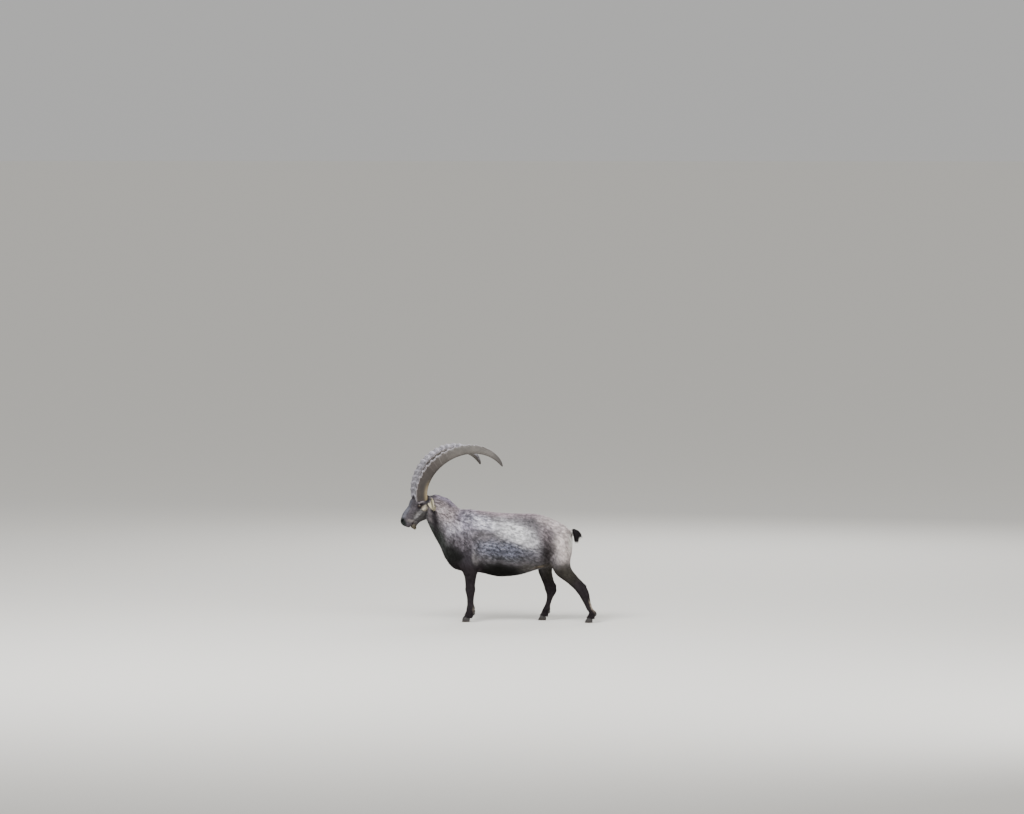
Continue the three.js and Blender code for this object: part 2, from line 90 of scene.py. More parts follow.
# Stations of the body forms: the outline points a and b in side view that a ring runs between, its
# half width, its middle y, the share f from b to a of its widest place, its squareness e (1 an
# ellipse) and k, by how much it narrows towards a.
TRUNK = (
    ((566, 728), (590, 650), 40, 0, 0.5, 0.9, 0),
    ((536, 765), (588, 570), 92, 0, 0.5, 0.95, 0),
    ((493, 794), (520, 480), 128, 0, 0.5, 0.9, 0.1),
    ((400, 838), (420, 440), 146, 0, 0.5, 0.9, 0.15),
    ((290, 866), (300, 408), 160, 0, 0.48, 0.9, 0.15),
    ((150, 869), (150, 366), 178, 0, 0.44, 0.9, 0.15),
    ((0, 875), (-10, 356), 188, 0, 0.42, 0.9, 0.15),
    ((-130, 888), (-150, 384), 180, 0, 0.42, 0.9, 0.2),
    ((-240, 900), (-275, 392), 158, 0, 0.44, 0.9, 0.25),
    ((-315, 906), (-370, 422), 142, -2, 0.46, 0.9, 0.3),
    ((-358, 944), (-428, 492), 122, -5, 0.46, 0.9, 0.3),
    ((-408, 985), (-478, 600), 104, -9, 0.48, 0.9, 0.25),
    ((-460, 1005), (-530, 695), 90, -14, 0.5, 0.9, 0.15),
    ((-520, 1018), (-575, 790), 76, -20, 0.5, 0.9, 0.1),
    ((-580, 990), (-598, 850), 55, -34, 0.5, 0.9, 0),
)
HEAD = (
    ((-560, 1006), (-548, 915), 38, 0, 0.5, 0.9, 0),
    ((-592, 1024), (-556, 872), 57, 0, 0.5, 0.8, 0),
    ((-630, 1026), (-572, 832), 68, 0, 0.56, 0.74, 0),
    ((-668, 1008), (-588, 812), 70, 0, 0.62, 0.76, 0.06),
    ((-702, 972), (-612, 804), 64, 0, 0.64, 0.82, 0.14),
    ((-722, 926), (-634, 792), 51, 0, 0.56, 0.88, 0.22),
    ((-748, 893), (-652, 774), 42, 0, 0.5, 0.9, 0.28),
    ((-768, 862), (-664, 752), 37, 0, 0.46, 0.9, 0.3),
    ((-778, 832), (-680, 741), 34, 0, 0.46, 0.9, 0.24),
    ((-782, 806), (-706, 748), 32, 0, 0.46, 0.9, 0.12),
    ((-776, 784), (-738, 758), 24, 0, 0.5, 0.9, 0),
)
FORE_LEG = (
    ((-330, 690), (-240, 700), 30, 88, 0.5, 1.0, 0.5),
    ((-352, 600), (-178, 610), 54, 92, 0.45, 1.0, 0.5),
    ((-338, 500), (-156, 500), 58, 98, 0.45, 1.0, 0.4),
    ((-300, 420), (-154, 425), 52, 102, 0.5, 0.95, 0.15),
    ((-276, 362), (-170, 365), 40, 98),
    ((-266, 295), (-184, 295), 33, 95),
    ((-262, 238), (-187, 236), 33, 92),
    ((-254, 196), (-193, 192), 26, 92),
    ((-252, 140), (-197, 138), 23, 92),
    ((-256, 94), (-190, 88), 28, 92),
    ((-264, 62), (-200, 52), 25, 92),
    ((-276, 40), (-208, 30), 27, 92),
)
HIND_LEG_BACK = (
    ((450, 720), (540, 735), 30, 72, 0.4, 1.0, 0.7),
    ((404, 640), (584, 668), 60, 80, 0.4, 1.0, 0.75),
    ((394, 550), (594, 570), 76, 86, 0.4, 1.0, 0.65),
    ((412, 460), (582, 480), 72, 94, 0.42, 1.0, 0.4),
    ((462, 378), (592, 430), 52, 100),
    ((552, 312), (640, 368), 38, 104),
    ((628, 240), (692, 308), 32, 104),
    ((664, 182), (724, 246), 31, 104),
    ((688, 138), (738, 172), 24, 104),
    ((705, 104), (754, 118), 23, 104),
    ((722, 80), (782, 76), 28, 104),
    ((712, 56), (772, 46), 25, 104),
    ((702, 40), (770, 30), 27, 104),
)
HIND_LEG_FORWARD = (
    ((430, 720), (530, 735), 30, 72, 0.4, 1.0, 0.7),
    ((384, 640), (572, 672), 60, 80, 0.4, 1.0, 0.75),
    ((348, 550), (566, 580), 76, 86, 0.4, 1.0, 0.65),
    ((314, 460), (492, 480), 72, 94, 0.42, 1.0, 0.4),
    ((306, 394), (430, 416), 52, 100),
    ((336, 316), (434, 338), 38, 104),
    ((360, 254), (450, 284), 32, 104),
    ((374, 205), (458, 236), 31, 104),
    ((372, 158), (428, 176), 24, 104),
    ((358, 116), (410, 126), 23, 104),
    ((342, 84), (404, 84), 28, 104),
    ((332, 58), (392, 50), 25, 104),
    ((320, 40), (388, 30), 27, 104),
)
TAIL = (
    ((548, 744), (556, 708), 13, 0),
    ((580, 746), (578, 698), 18, 0),
    ((604, 736), (598, 694), 14, 0),
    ((618, 722), (612, 704), 7, 0),
)
# Every leg: its stations, its row of LEG_FORMS, its side and its shift along x.
LEGS = (
    (FORE_LEG, "fore", -1, 0),
    (FORE_LEG, "fore", 1, -9),
    (HIND_LEG_BACK, "hind_left", -1, 0),
    (HIND_LEG_FORWARD, "hind_right", 1, 0),
)
# Every foot: its toe, its middle and its dewclaws' x.
FEET = {
    "fore_left": (-292, -92, -196),
    "fore_right": (-301, 92, -205),
    "hind_left": (690, -104, 776),
    "hind_right": (308, 104, 396),
}

# Swellings (and hollows, below 0) of muscle and bone under the skin: side view place, |y|, reach
# along x, y and z, height.
SWELLINGS = (
    # shoulder blade, its spine, point of the shoulder, upper arm and elbow
    (-262, 120, 720, 60, 60, 130, 7),
    (-300, 120, 790, 20, 60, 90, -4),
    (-205, 130, 640, 24, 60, 100, -6),
    (-385, 90, 600, 40, 60, 45, 9),
    (-300, 130, 560, 55, 60, 50, 6),
    (-180, 110, 505, 26, 50, 30, 8),
    (-120, 120, 470, 40, 60, 40, -5),
    # neck: the long muscle, the groove under it
    (-440, 80, 880, 70, 70, 60, 5),
    (-480, 60, 735, 60, 50, 60, -6),
    # belly line, flank hollow, hip bone, thigh, stifle fold
    (10, 150, 520, 190, 80, 70, 4),
    (300, 150, 690, 60, 60, 90, -10),
    (372, 110, 812, 34, 50, 24, 9),
    (540, 70, 735, 30, 40, 30, 7),
    (480, 120, 640, 60, 60, 90, 6),
    (445, 120, 520, 34, 60, 60, 5),
)

# Joints and tendons of each leg: x, z, reach along x and z, height.
LEG_FORMS = {
    "fore": (
        (-262, 262, 20, 26, 3.5),
        (-190, 250, 14, 18, 3.0),
        (-225, 305, 12, 26, -2.5),
        (-214, 165, 7, 40, -3.0),
        (-192, 100, 14, 14, 3.0),
        (-250, 95, 16, 14, 2.0),
        (-290, 420, 26, 50, 4.0),
    ),
    "hind_left": (
        (700, 300, 16, 16, 6.0),
        (622, 330, 22, 26, -6.0),
        (640, 250, 18, 22, 3.0),
        (712, 165, 7, 36, -3.0),
        (770, 84, 14, 12, 3.0),
        (480, 400, 30, 26, 4.0),
    ),
    "hind_right": (
        (455, 282, 14, 16, 6.0),
        (408, 330, 18, 26, -6.0),
        (366, 244, 16, 22, 3.0),
        (398, 165, 7, 36, -3.0),
        (398, 90, 12, 12, 3.0),
        (330, 420, 26, 30, 4.0),
    ),
}

# Forms of the face, on the straight head as drawn in side view: x, |y|, z, reach, height.
FACE_FORMS = (
    # cheekbone, the hollow under it, the jaw muscle
    (-628, 70, 893, 26, 18, 8, 3.5),
    (-662, 62, 880, 24, 18, 8, 4.0),
    (-692, 50, 868, 22, 16, 8, 3.0),
    (-670, 52, 850, 30, 22, 14, -4.5),
    (-630, 62, 864, 18, 20, 7, -2.5),
    (-606, 66, 836, 28, 26, 26, 5.0),
    # hollow before the eye, brow, side of the nose
    (-694, 46, 912, 16, 18, 14, -5.0),
    (-640, 62, 956, 26, 18, 7, 3.0),
    (-735, 38, 850, 26, 12, 24, -4.0),
    # wing of the nostril, upper lip and its groove, lower lip
    (-757, 28, 824, 8, 9, 14, 3.5),
    (-779, 13, 808, 8, 7, 14, 2.0),
    (-768, 30, 790, 10, 10, 6, -2.0),
    (-738, 32, 773, 18, 14, 11, 4.0),
    (-784, 0, 788, 9, 3, 13, -2.5),
    (-684, 24, 768, 16, 14, 10, 3.0),
    (-640, 30, 1005, 20, 20, 20, 3.0),
)
# The corner of the mouth, and the notch between the lips and the chin, in side view.
MOUTH = ((-686, 809), (-697, 792), (-703, 770))
NOTCH = ((-702, 774), (-733, 733), (-684, 726))

# Places on the head in side view, with their distance from its middle, and the middle of the tail.
EYE = (-648, 57, 927)
EYE_TILT = math.radians(10)
EAR_ROOT, EAR_TIP = (-571, 60.5, 994), (-556, 122, 892)
NOSTRIL = (-770, 23, 813)
HORN_ROOT = (-634.5, 39.5, 978)
CHIN, BEARD = (-686, 0, 763), (-679, 0, 751)
TAIL_LINE = ((584, 0, 727), (600, 0, 722), (616, 0, 710))

# Places where a leg joins the trunk and the head the neck, made smooth: side view place, reaches.
FOLDS = ((480, 600, 190, 210), (-265, 560, 170, 190), (-560, 930, 50, 130))

# Regions of the coat, from nose to feet: side view place, reach, lie (x, z), hair length, breadth
# and lift of a tuft in degrees, and the spacing of the roots.
COAT = (
    ("nose", -775, 815, 26, 0.30, 0.95, 3.5, 1.2, 8, 1.65),
    ("lips", -735, 770, 26, 0.80, 0.20, 4.5, 1.2, 10, 1.65),
    ("bridge", -745, 890, 40, 0.36, 0.93, 5.5, 1.3, 10, 1.65),
    ("brow", -700, 985, 36, 0.45, 0.89, 8, 1.5, 14, 1.9),
    ("crown", -640, 1020, 34, 0.95, 0.30, 12, 1.7, 20, 2.2),
    ("eye", -650, 930, 30, 0.90, 0.42, 5, 1.2, 10, 1.65),
    ("cheek", -640, 860, 46, 0.96, 0.10, 8, 1.5, 12, 1.9),
    ("jaw", -620, 800, 40, 0.95, -0.30, 10, 1.6, 14, 2),
    ("chin", -690, 757, 26, 0.55, -0.83, 6, 1.5, 14, 2),
    ("throat_latch", -584, 858, 34, 0.45, -0.89, 14, 1.7, 16, 2.3),
    ("poll", -560, 980, 44, 0.92, -0.38, 14, 1.52, 13, 2.82),
    ("neck", -450, 880, 90, 0.75, -0.66, 22, 2.05, 12.2, 3.67),
    ("throat", -520, 720, 90, 0.42, -0.91, 22, 2.05, 12.2, 3.67),
    ("nape", -430, 985, 60, 0.92, -0.40, 27, 2.13, 14.4, 3.67),
    ("withers", -260, 900, 90, 0.97, -0.24, 25, 2.13, 12.2, 3.67),
    ("back", -80, 885, 110, 1.00, -0.08, 20, 2.05, 10.1, 3.76),
    ("loin", 140, 870, 130, 1.00, -0.06, 19, 2.05, 10.1, 3.76),
    ("rump", 390, 840, 110, 0.96, -0.28, 19, 2.05, 10.1, 3.76),
    ("shoulder", -260, 700, 110, 0.55, -0.84, 20, 2.05, 10.1, 3.76),
    ("ribs", -30, 680, 150, 0.95, -0.32, 21, 2.05, 10.1, 3.85),
    ("flank", 220, 640, 130, 0.93, -0.36, 21, 2.05, 10.1, 3.85),
    ("chest", -400, 560, 100, 0.48, -0.88, 22, 2.05, 12.2, 3.76),
    ("belly", 0, 430, 130, 0.98, -0.20, 22, 2.05, 10.1, 3.76),
    ("belly_rear", 240, 440, 80, 0.95, -0.30, 22, 2.05, 11.5, 3.76),
    ("haunch", 430, 690, 100, 0.70, -0.71, 18, 1.98, 9.4, 3.67),
    ("buttock", 560, 640, 70, 0.32, -0.95, 22, 1.98, 13, 3.48),
    ("rump_edge", 590, 690, 38, 0.55, -0.84, 36, 2.1, 24, 3.48),
    ("thigh", 480, 520, 90, 0.55, -0.84, 16, 1.82, 9.4, 3.48),
    ("arm", -270, 520, 90, 0.22, -0.98, 16, 1.82, 8.6, 3.48),
    ("forearm", -235, 360, 60, 0.10, -0.99, 12, 2.1, 12, 2.7),
    ("gaskin", 500, 400, 70, 0.62, -0.79, 12, 2.1, 12, 2.7),
    ("gaskin_forward", 370, 400, 60, 0.10, -0.99, 12, 2.1, 12, 2.7),
    ("knee", -225, 250, 50, 0.05, -1.00, 8, 1.8, 10, 2.5),
    ("cannon", -225, 150, 45, 0.05, -1.00, 7.5, 1.7, 10, 2.5),
    ("fetlock", -228, 70, 40, -0.15, -0.98, 9, 1.8, 14, 2.4),
    ("hock", 660, 270, 60, 0.55, -0.83, 9, 1.9, 10, 2.5),
    ("hock_forward", 405, 250, 50, 0.15, -0.98, 9, 1.9, 10, 2.5),
    ("cannon_back", 715, 150, 45, 0.35, -0.93, 8, 1.7, 10, 2.5),
    ("cannon_forward", 398, 150, 45, -0.22, -0.97, 8, 1.7, 10, 2.5),
    ("fetlock_back", 745, 70, 40, -0.12, -0.99, 10, 1.8, 14, 2.4),
    ("fetlock_forward", 370, 70, 40, -0.20, -0.97, 10, 1.8, 14, 2.4),
)

# The markings, laid over each other in this order: colour, side view place, reach along and across,
# lean in degrees, how hard the edge is, share, how much single tufts differ.
MARKINGS = (
    ("topline", 100, 884, 560, 48, -3, 2.0, 0.95, 0.18),
    ("withers", -275, 800, 110, 110, 0, 1.6, 0.85, 0.34),
    ("pale_withers", -120, 795, 120, 52, -22, 1.6, 0.90, 0.34),
    ("pale_flank", 135, 712, 190, 80, -26, 1.6, 0.95, 0.28),
    ("neck_base", -372, 762, 84, 56, -50, 1.5, 0.80, 0.36),
    ("slate", 30, 586, 260, 76, -5, 1.8, 0.90, 0.44),
    ("grey_band", 60, 512, 220, 26, -3, 1.4, 0.70, 0.34),
    ("shoulder", -290, 632, 120, 90, 0, 1.8, 0.90, 0.34),
    ("belly", 0, 402, 232, 82, -3, 2.8, 1.00, 0.12),
    ("rear_belly", 240, 436, 84, 42, 8, 1.8, 0.90, 0.20),
    ("groin", 352, 446, 60, 13, 10, 1.6, 0.95, 0.10),
    ("arm", -255, 500, 84, 96, 0, 2.0, 0.95, 0.20),
    ("brisket", -365, 520, 92, 116, 22, 2.6, 0.95, 0.12),
    # elbow: pale hair, brightened as a painted highlight along the elbow's rear edge.
    ("elbow", -182, 480, 22, 92, 0, 1.6, 0.75, 0.16),
    ("throat", -497, 690, 165, 56, -58, 1.8, 0.95, 0.18),
    ("neck", -436, 884, 140, 68, -50, 1.6, 0.95, 0.34),
    ("nape", -420, 986, 180, 30, -24, 1.8, 0.90, 0.24),
    ("neck_band", -518, 850, 172, 24, -83, 1.8, 0.92, 0.16),
    ("neck_edge", -556, 858, 52, 12, -66, 1.6, 0.50, 0.12),
    # notch: painted shade in the crease where the neck meets the withers.
    ("notch", -322, 846, 22, 52, -24, 1.4, 0.55, 0.30),
    ("rump", 430, 800, 120, 66, -20, 1.8, 0.92, 0.18),
    ("band_top", 380, 690, 54, 96, 8, 1.2, 0.85, 0.26),
    ("thigh_band", 396, 555, 62, 138, 0, 1.2, 0.95, 0.22),
    ("thigh", 542, 626, 78, 168, 0, 1.4, 0.97, 0.20),
    # rump_edge: pale hair, brightened as a painted highlight on the rump's sunlit rear edge.
    ("rump_edge", 590, 680, 32, 76, -8, 2.6, 1.00, 0.08),
)
LEG_MARKINGS = (
    ("leg_brown", 560, 400, 90, 80, -35, 1.6, 0.80, 0.12),
    ("leg_brown", 400, 400, 80, 80, 0, 1.6, 0.60, 0.12),
    ("leg_pale", 757, 132, 46, 11, -64, 1.8, 0.85, 0.12),
    ("leg_pale", 420, 130, 40, 8, 80, 1.6, 0.45, 0.12),
    ("leg_pale", -190, 110, 8, 40, 0, 1.6, 0.30, 0.12),
)
FACE_MARKINGS = (
    ("bridge", -742, 905, 110, 24, 66, 1.8, 0.90, 0.14),
    ("forehead", -672, 1012, 60, 30, -30, 1.8, 0.90, 0.14),
    ("forehead", -586, 955, 76, 16, 88, 1.8, 0.85, 0.14),
    ("cheek", -640, 850, 56, 46, 20, 1.6, 0.85, 0.18),
    ("jaw", -603, 842, 60, 34, 15, 1.8, 0.85, 0.14),
    ("cheek_pale", -652, 870, 60, 13, 55, 1.8, 0.80, 0.14),
    # socket: dark hair under the horn roots, darkened further as painted shadow under the horns.
    ("socket", -641, 988, 46, 19, 0, 1.8, 0.80, 0.12),
    # socket: dark hair round the eye, darkened further as painted shade under the brow.
    ("socket", -647, 921, 29, 22, 0, 2.0, 0.90, 0.10),
    ("eye_patch", -606, 911, 29, 23, 20, 2.2, 1.00, 0.14),
    # lids: painted shade under the brow, along the upper lid.
    ("lids", -641, 937, 25, 7, 0, 1.8, 0.80, 0.10),
    # Painted highlight along the ridge of the brow.
    ("brow_highlight", -636, 953, 25, 5, 5, 1.8, 0.80, 0.10),
    # lids: painted shade in the crease below the eye.
    ("lids", -640, 890, 25, 5, 4, 1.6, 0.75, 0.10),
    ("lips", -708, 806, 34, 11, -10, 1.6, 0.80, 0.12),
    ("muzzle", -771, 800, 44, 24, -65, 2.6, 1.00, 0.10),
    ("chin", -684, 760, 26, 24, 0, 1.8, 0.75, 0.16),
    # lids: painted shade along the line of the mouth.
    ("lids", -697, 788, 26, 4, 64, 1.8, 0.80, 0.05),
    # nostril: dark skin, darkened to near black as painted shade inside the hole.
    ("nostril", -770, 813, 14, 6, 61, 3.0, 1.00, 0.00),
)

# Middle lines that the maps of the coat run along, on the animal and on the straight head.
LINES = {
    "trunk": ((-420, 0, 640), (-150, 0, 640), (150, 0, 620), (400, 0, 640), (600, 0, 690)),
    "neck": ((-600, -34, 920), (-500, -20, 860), (-400, -6, 760), (-320, 0, 660)),
    "fore_left": ((-240, -98, 640), (-225, -95, 300), (-224, -92, 140), (-240, -92, 30)),
    "fore_right": ((-249, 98, 640), (-234, 95, 300), (-233, 92, 140), (-249, 92, 30)),
    "hind_left": (
        (500, -90, 560), (596, -104, 340), (690, -104, 220), (745, -104, 90), (736, -104, 30)
    ),
    "hind_right": (
        (460, 90, 560), (385, 104, 325), (408, 104, 230), (372, 104, 90), (354, 104, 30)
    ),
}
HEAD_LINES = {
    "ears": (EAR_ROOT, EAR_TIP),
    "head": ((-560, 0, 960), (-640, 0, 930), (-775, 0, 790)),
}

# The nodes that the skin takes the place of, and the slot of each piece of the coat.
FLESH_NODES = (
    "torso", "neck", "head", "lower_jaw", "tail", "ear_left", "ear_right",
    "leg_fore_left", "leg_fore_right", "leg_hind_left", "leg_hind_right",
)
SLOTS = {"head": "coat_face", "leg": "coat_dark", "ears": "ear_coat"}

# The stage, in metres: area lights (place, size, watts), the place they face, the camera's place
# across, up and back from the animal's own origin, and the floor's reach in mm.
LIGHTS = (
    ("key", (-3.5, -6.0, 8.5), 4.5, 1500),
    ("fill", (6.0, -7.0, 4.5), 6.0, 560),
    ("back", (2.0, 8.0, 6.0), 6.0, 450),
)
LIT_PLACE = (0, 0, 0.6)
CAMERA_PLACE = (0.104, 1.712, 45.5)
FLOOR_REACH = 4e5

# The breadth of a tuft's patch on its map, and the triangles that the skin is thinned to.
PATCH = 0.003
SKIN_TRIANGLES = 190000

COLOURS = (
    ("flank", "#6e6a6e", "Body of the coat between the markings"),
    ("topline", "#a19399", "Band along the back"),
    ("pale_withers", "#c7c5d1", "Pale speckled patch behind the withers"),
    ("pale_flank", "#dddce0", "Pale patch of the flank"),
    ("slate", "#5a5c68", "Dark speckled lower flank"),
    ("grey_band", "#46474a", "Grey band above the belly"),
    ("belly", "#1a1918", "Belly"),
    ("rear_belly", "#595653", "Rear of the belly"),
    ("groin", "#c9b89c", "Cream line before the thigh"),
    ("withers", "#928d9b", "Withers"),
    ("shoulder", "#5c575d", "Shoulder"),
    ("arm", "#38343a", "Upper foreleg"),
    ("brisket", "#1a1b1a", "Front of the chest"),
    # Pale hair with a painted highlight on the elbow's rear edge.
    ("elbow", "#7f7c7d", "Pale spot at the elbow"),
    ("throat", "#333734", "Throat and front of the neck"),
    ("neck", "#a69b9e", "Side of the neck"),
    # Painted shade in the crease between neck and withers.
    ("notch", "#5f5863", "Dark crease between neck and withers"),
    ("neck_band", "#292428", "Dark band behind the jaw"),
    ("neck_edge", "#6e6566", "Grey edge of the jaw"),
    ("neck_base", "#a8a5af", "Pale speckled base of the neck"),
    ("nape", "#9d94a5", "Nape"),
    ("thigh_band", "#262122", "Dark band before the thigh"),
    ("thigh", "#d4c8c5", "Back of the thigh"),
    ("rump", "#d1c5c5", "Rump"),
    ("band_top", "#867c80", "Grey hollow before the hip"),
    # Pale hair of the rump's edge, brightened as a painted highlight.
    ("rump_edge", "#fbf7f0", "White edge of the rump"),
    ("leg", "#2a2528", "Legs"),
    ("leg_brown", "#3c3933", "Brown of the hind legs"),
    ("leg_pale", "#a89b8d", "Pale streak behind the cannons"),
    ("face", "#494549", "Face"),
    ("bridge", "#595a62", "Bridge of the nose"),
    ("forehead", "#2f2e31", "Forehead"),
    ("cheek", "#62605f", "Cheek"),
    ("jaw", "#3e3c3b", "Jaw"),
    # Dark hair, darkened further as painted shadow under the horn roots and painted shade round the
    # eye.
    ("socket", "#282326", "Dark hair round the eye and under the horns"),
    # Painted highlight on the ridge of the brow.
    ("brow_highlight", "#b0a7a9", "Pale ridge of the brow"),
    ("cheek_pale", "#989697", "Grey streak of the cheek"),
    ("eye_patch", "#c2b9a6", "Pale hair round the eye"),
    # Eyelids; laid on the face as painted shade under the brow, below the eye and along the mouth.
    ("lids", "#1f191a", "Eyelids and dark lines of the face"),
    ("muzzle", "#1d2120", "Front of the muzzle"),
    ("lips", "#7e7875", "Lips"),
    ("chin", "#6a6352", "Chin and beard"),
    # Nostril: dark skin with painted shade of the hole.
    ("nostril", "#07080a", "Nostril"),
    ("tail", "#1f1c1e", "Tail"),
    ("ear_back", "#9a8f7e", "Back of the ear"),
    ("ear_inside", "#d3cab0", "Hair in the ear"),
    ("horn_side", "#332d2a", "Sides of the horns near the head"),
    ("horn_middle", "#504c48", "Sides of the horns from their middle on"),
    ("horn_front", "#86838a", "Ridged front of the horns"),
    ("horn_line", "#a39a9a", "Growth lines and edges of the horns"),
    ("horn_base", "#9a8a6c", "Inner base of the horns"),
    ("horn_tip", "#2a2523", "Tips of the horns"),
    ("claw", "#231f1e", "Claws"),
    ("claw_edge", "#4d443d", "Worn edge of the claws"),
    ("iris", "#38240f", "Iris"),
    ("pupil", "#07060a", "Pupil"),
    ("eyeball", "#2a1d18", "Rim of the eyeball"),
    ("floor", "#d6d4cf", "Floor"),
)


def linear(colour):
    """An sRGB hex colour as linear red, green and blue."""
    parts = [int(colour[i : i + 2], 16) / 255 for i in (1, 3, 5)]
    return tuple(
        c / 12.92 if c <= 0.04045 else ((c + 0.055) / 1.055) ** 2.4 for c in parts
    )


def length(name, default, description):
    """A size in millimetres."""
    return FloatProperty(name=name, description=description, default=default)


class IbexSizes(bpy.types.PropertyGroup):
    skin_step: length("Skin step", 3.0, "Pitch of the grid the skin is joined on, mm")
    coat_depth: length("Coat depth", 8.0, "Depth of the trunk's coat over its skin, mm")
    coat_length: FloatProperty(
        name="Coat length", description="Multiplies the length of every tuft", default=1.0
    )
    tufts: IntProperty(name="Tufts", description="Most tufts in the coat", default=185000)
    eye_radius: length("Eye radius", 17.0, "Radius of an eyeball, mm")
    ear_length: length("Ear length", 118.0, "Length of an ear, mm")
    horn_length: length("Horn length", 897.0, "Length of a horn's curve in side view, mm")
    horn_depth: length("Horn depth", 103.4, "Front to back of a horn at its root, mm")
    horn_breadth: length("Horn breadth", 77.0, "Side to side of a horn at its root, mm")
    horn_spread: length("Horn spread", 266.0, "How far a horn leans out to its side, mm")
    horn_knobs: IntProperty(name="Horn knobs", description="Knobs on a horn", default=19)
    claw_length: length("Claw length", 62.0, "Length of a claw's sole, mm")
    claw_height: length("Claw height", 38.0, "Height of a claw, mm")
    beard_length: length("Beard length", 25.0, "Length of the beard, mm")
    tail_length: length("Tail length", 96.0, "Length of the tail's hair, mm")


class IbexColours(bpy.types.PropertyGroup):
    __annotations__ = {
        name: FloatVectorProperty(
            name=name.replace("_", " ").capitalize(),
            description=text,
            subtype="COLOR",
            size=3,
            min=0,
            max=1,
            default=linear(colour),
        )
        for name, colour, text in COLOURS
    }


def sizes():
    return bpy.context.scene.ibex_sizes


def colour(name):
    return np.array(getattr(bpy.context.scene.ibex_colours, name)[:])


# ---------------------------------------------------------------------------------------------
# Arrays of points


def unit(vectors):
    return vectors / np.maximum(np.linalg.norm(vectors, axis=-1, keepdims=True), 1e-9)


def rise(values, low, high):
    """0 below low, 1 above high, and the smooth cubic 3u^2 - 2u^3 between them."""
    u = np.clip((values - low) / (high - low), 0, 1)
    return u * u * (3 - 2 * u)


def grain(points, pitch, seed=0):
    """Smooth noise from -1 to 1: hashed values at the corners of cubes of this pitch, blended
    between them by 3u^2 - 2u^3 along each axis."""
    q = points / pitch + 31.7 * (seed + 1)
    base = np.floor(q).astype(np.int64)
    share = q - base
    share = share * share * (3 - 2 * share)
    total = np.zeros(len(points))
    for corner in np.ndindex(2, 2, 2):
        key = (base + corner) @ np.array([73856093, 19349663, 83492791]) + seed * 2654435761
        key = (key ^ (key >> 15)) * 2246822519 & 0xFFFFFFFF
        key = (key ^ (key >> 13)) * 3266489917 & 0xFFFFFFFF
        value = ((key ^ (key >> 16)) & 0xFFFF) / 32767.5 - 1
        total += value * np.prod(np.where(corner, share, 1 - share), axis=1)
    return total


def curve(points, shares):
    """A centripetal Catmull-Rom curve: between two points the cubic whose slopes come from
    differences divided by the square root of the distances to the neighbours. shares run 0 to 1
    with the same step between every two points."""
    points = np.asarray(points, float)
    full = np.vstack([2 * points[0] - points[1], points, 2 * points[-1] - points[-2]])
    place = np.clip(shares, 0, 1) * (len(points) - 1)
    i = np.minimum(place.astype(int), len(points) - 2)
    u = (place - i)[:, None]
    p0, p1, p2, p3 = (full[i + n] for n in range(4))
    d0, d1, d2 = (
        np.maximum(np.linalg.norm(b - a, axis=1, keepdims=True) ** 0.5, 1e-4)
        for a, b in ((p0, p1), (p1, p2), (p2, p3))
    )
    m1 = ((p1 - p0) / d0 - (p2 - p0) / (d0 + d1) + (p2 - p1) / d1) * d1
    m2 = ((p2 - p1) / d1 - (p3 - p1) / (d1 + d2) + (p3 - p2) / d2) * d1
    return (
        (2 * u**3 - 3 * u**2 + 1) * p1
        + (u**3 - 2 * u**2 + u) * m1
        + (3 * u**2 - 2 * u**3) * p2
        + (u**3 - u**2) * m2
    )


def outwards(points, faces):
    """The triangles of a closed surface, all turned to face outwards."""
    p = points[faces]
    volume = np.einsum("ij,ij->i", p[:, 0], np.cross(p[:, 1], p[:, 2])).sum()
    return faces[:, ::-1] if volume < 0 else faces


def loft(rings, first, last):
    """A closed surface over rings (count, around, 3) with a fan to a point at each end, its
    triangles turned outwards."""
    count, around = rings.shape[:2]
    points = np.vstack([rings.reshape(-1, 3), first, last])
    a = np.arange(count * around).reshape(count, around)
    b = np.roll(a, -1, axis=1)
    sides = [
        np.stack([a[:-1], b[:-1], a[1:]], -1).reshape(-1, 3),
        np.stack([b[:-1], b[1:], a[1:]], -1).reshape(-1, 3),
        np.stack([np.full(around, count * around), b[0], a[0]], -1),
        np.stack([np.full(around, count * around + 1), a[-1], b[-1]], -1),
    ]
    return points, outwards(points, np.vstack(sides))


def together(surfaces):
    """Several surfaces as one pair of arrays."""
    start, points, faces = 0, [], []
    for p, f in surfaces:
        points.append(p)
        faces.append(f + start)
        start += len(p)
    return np.vstack(points), np.vstack(faces)


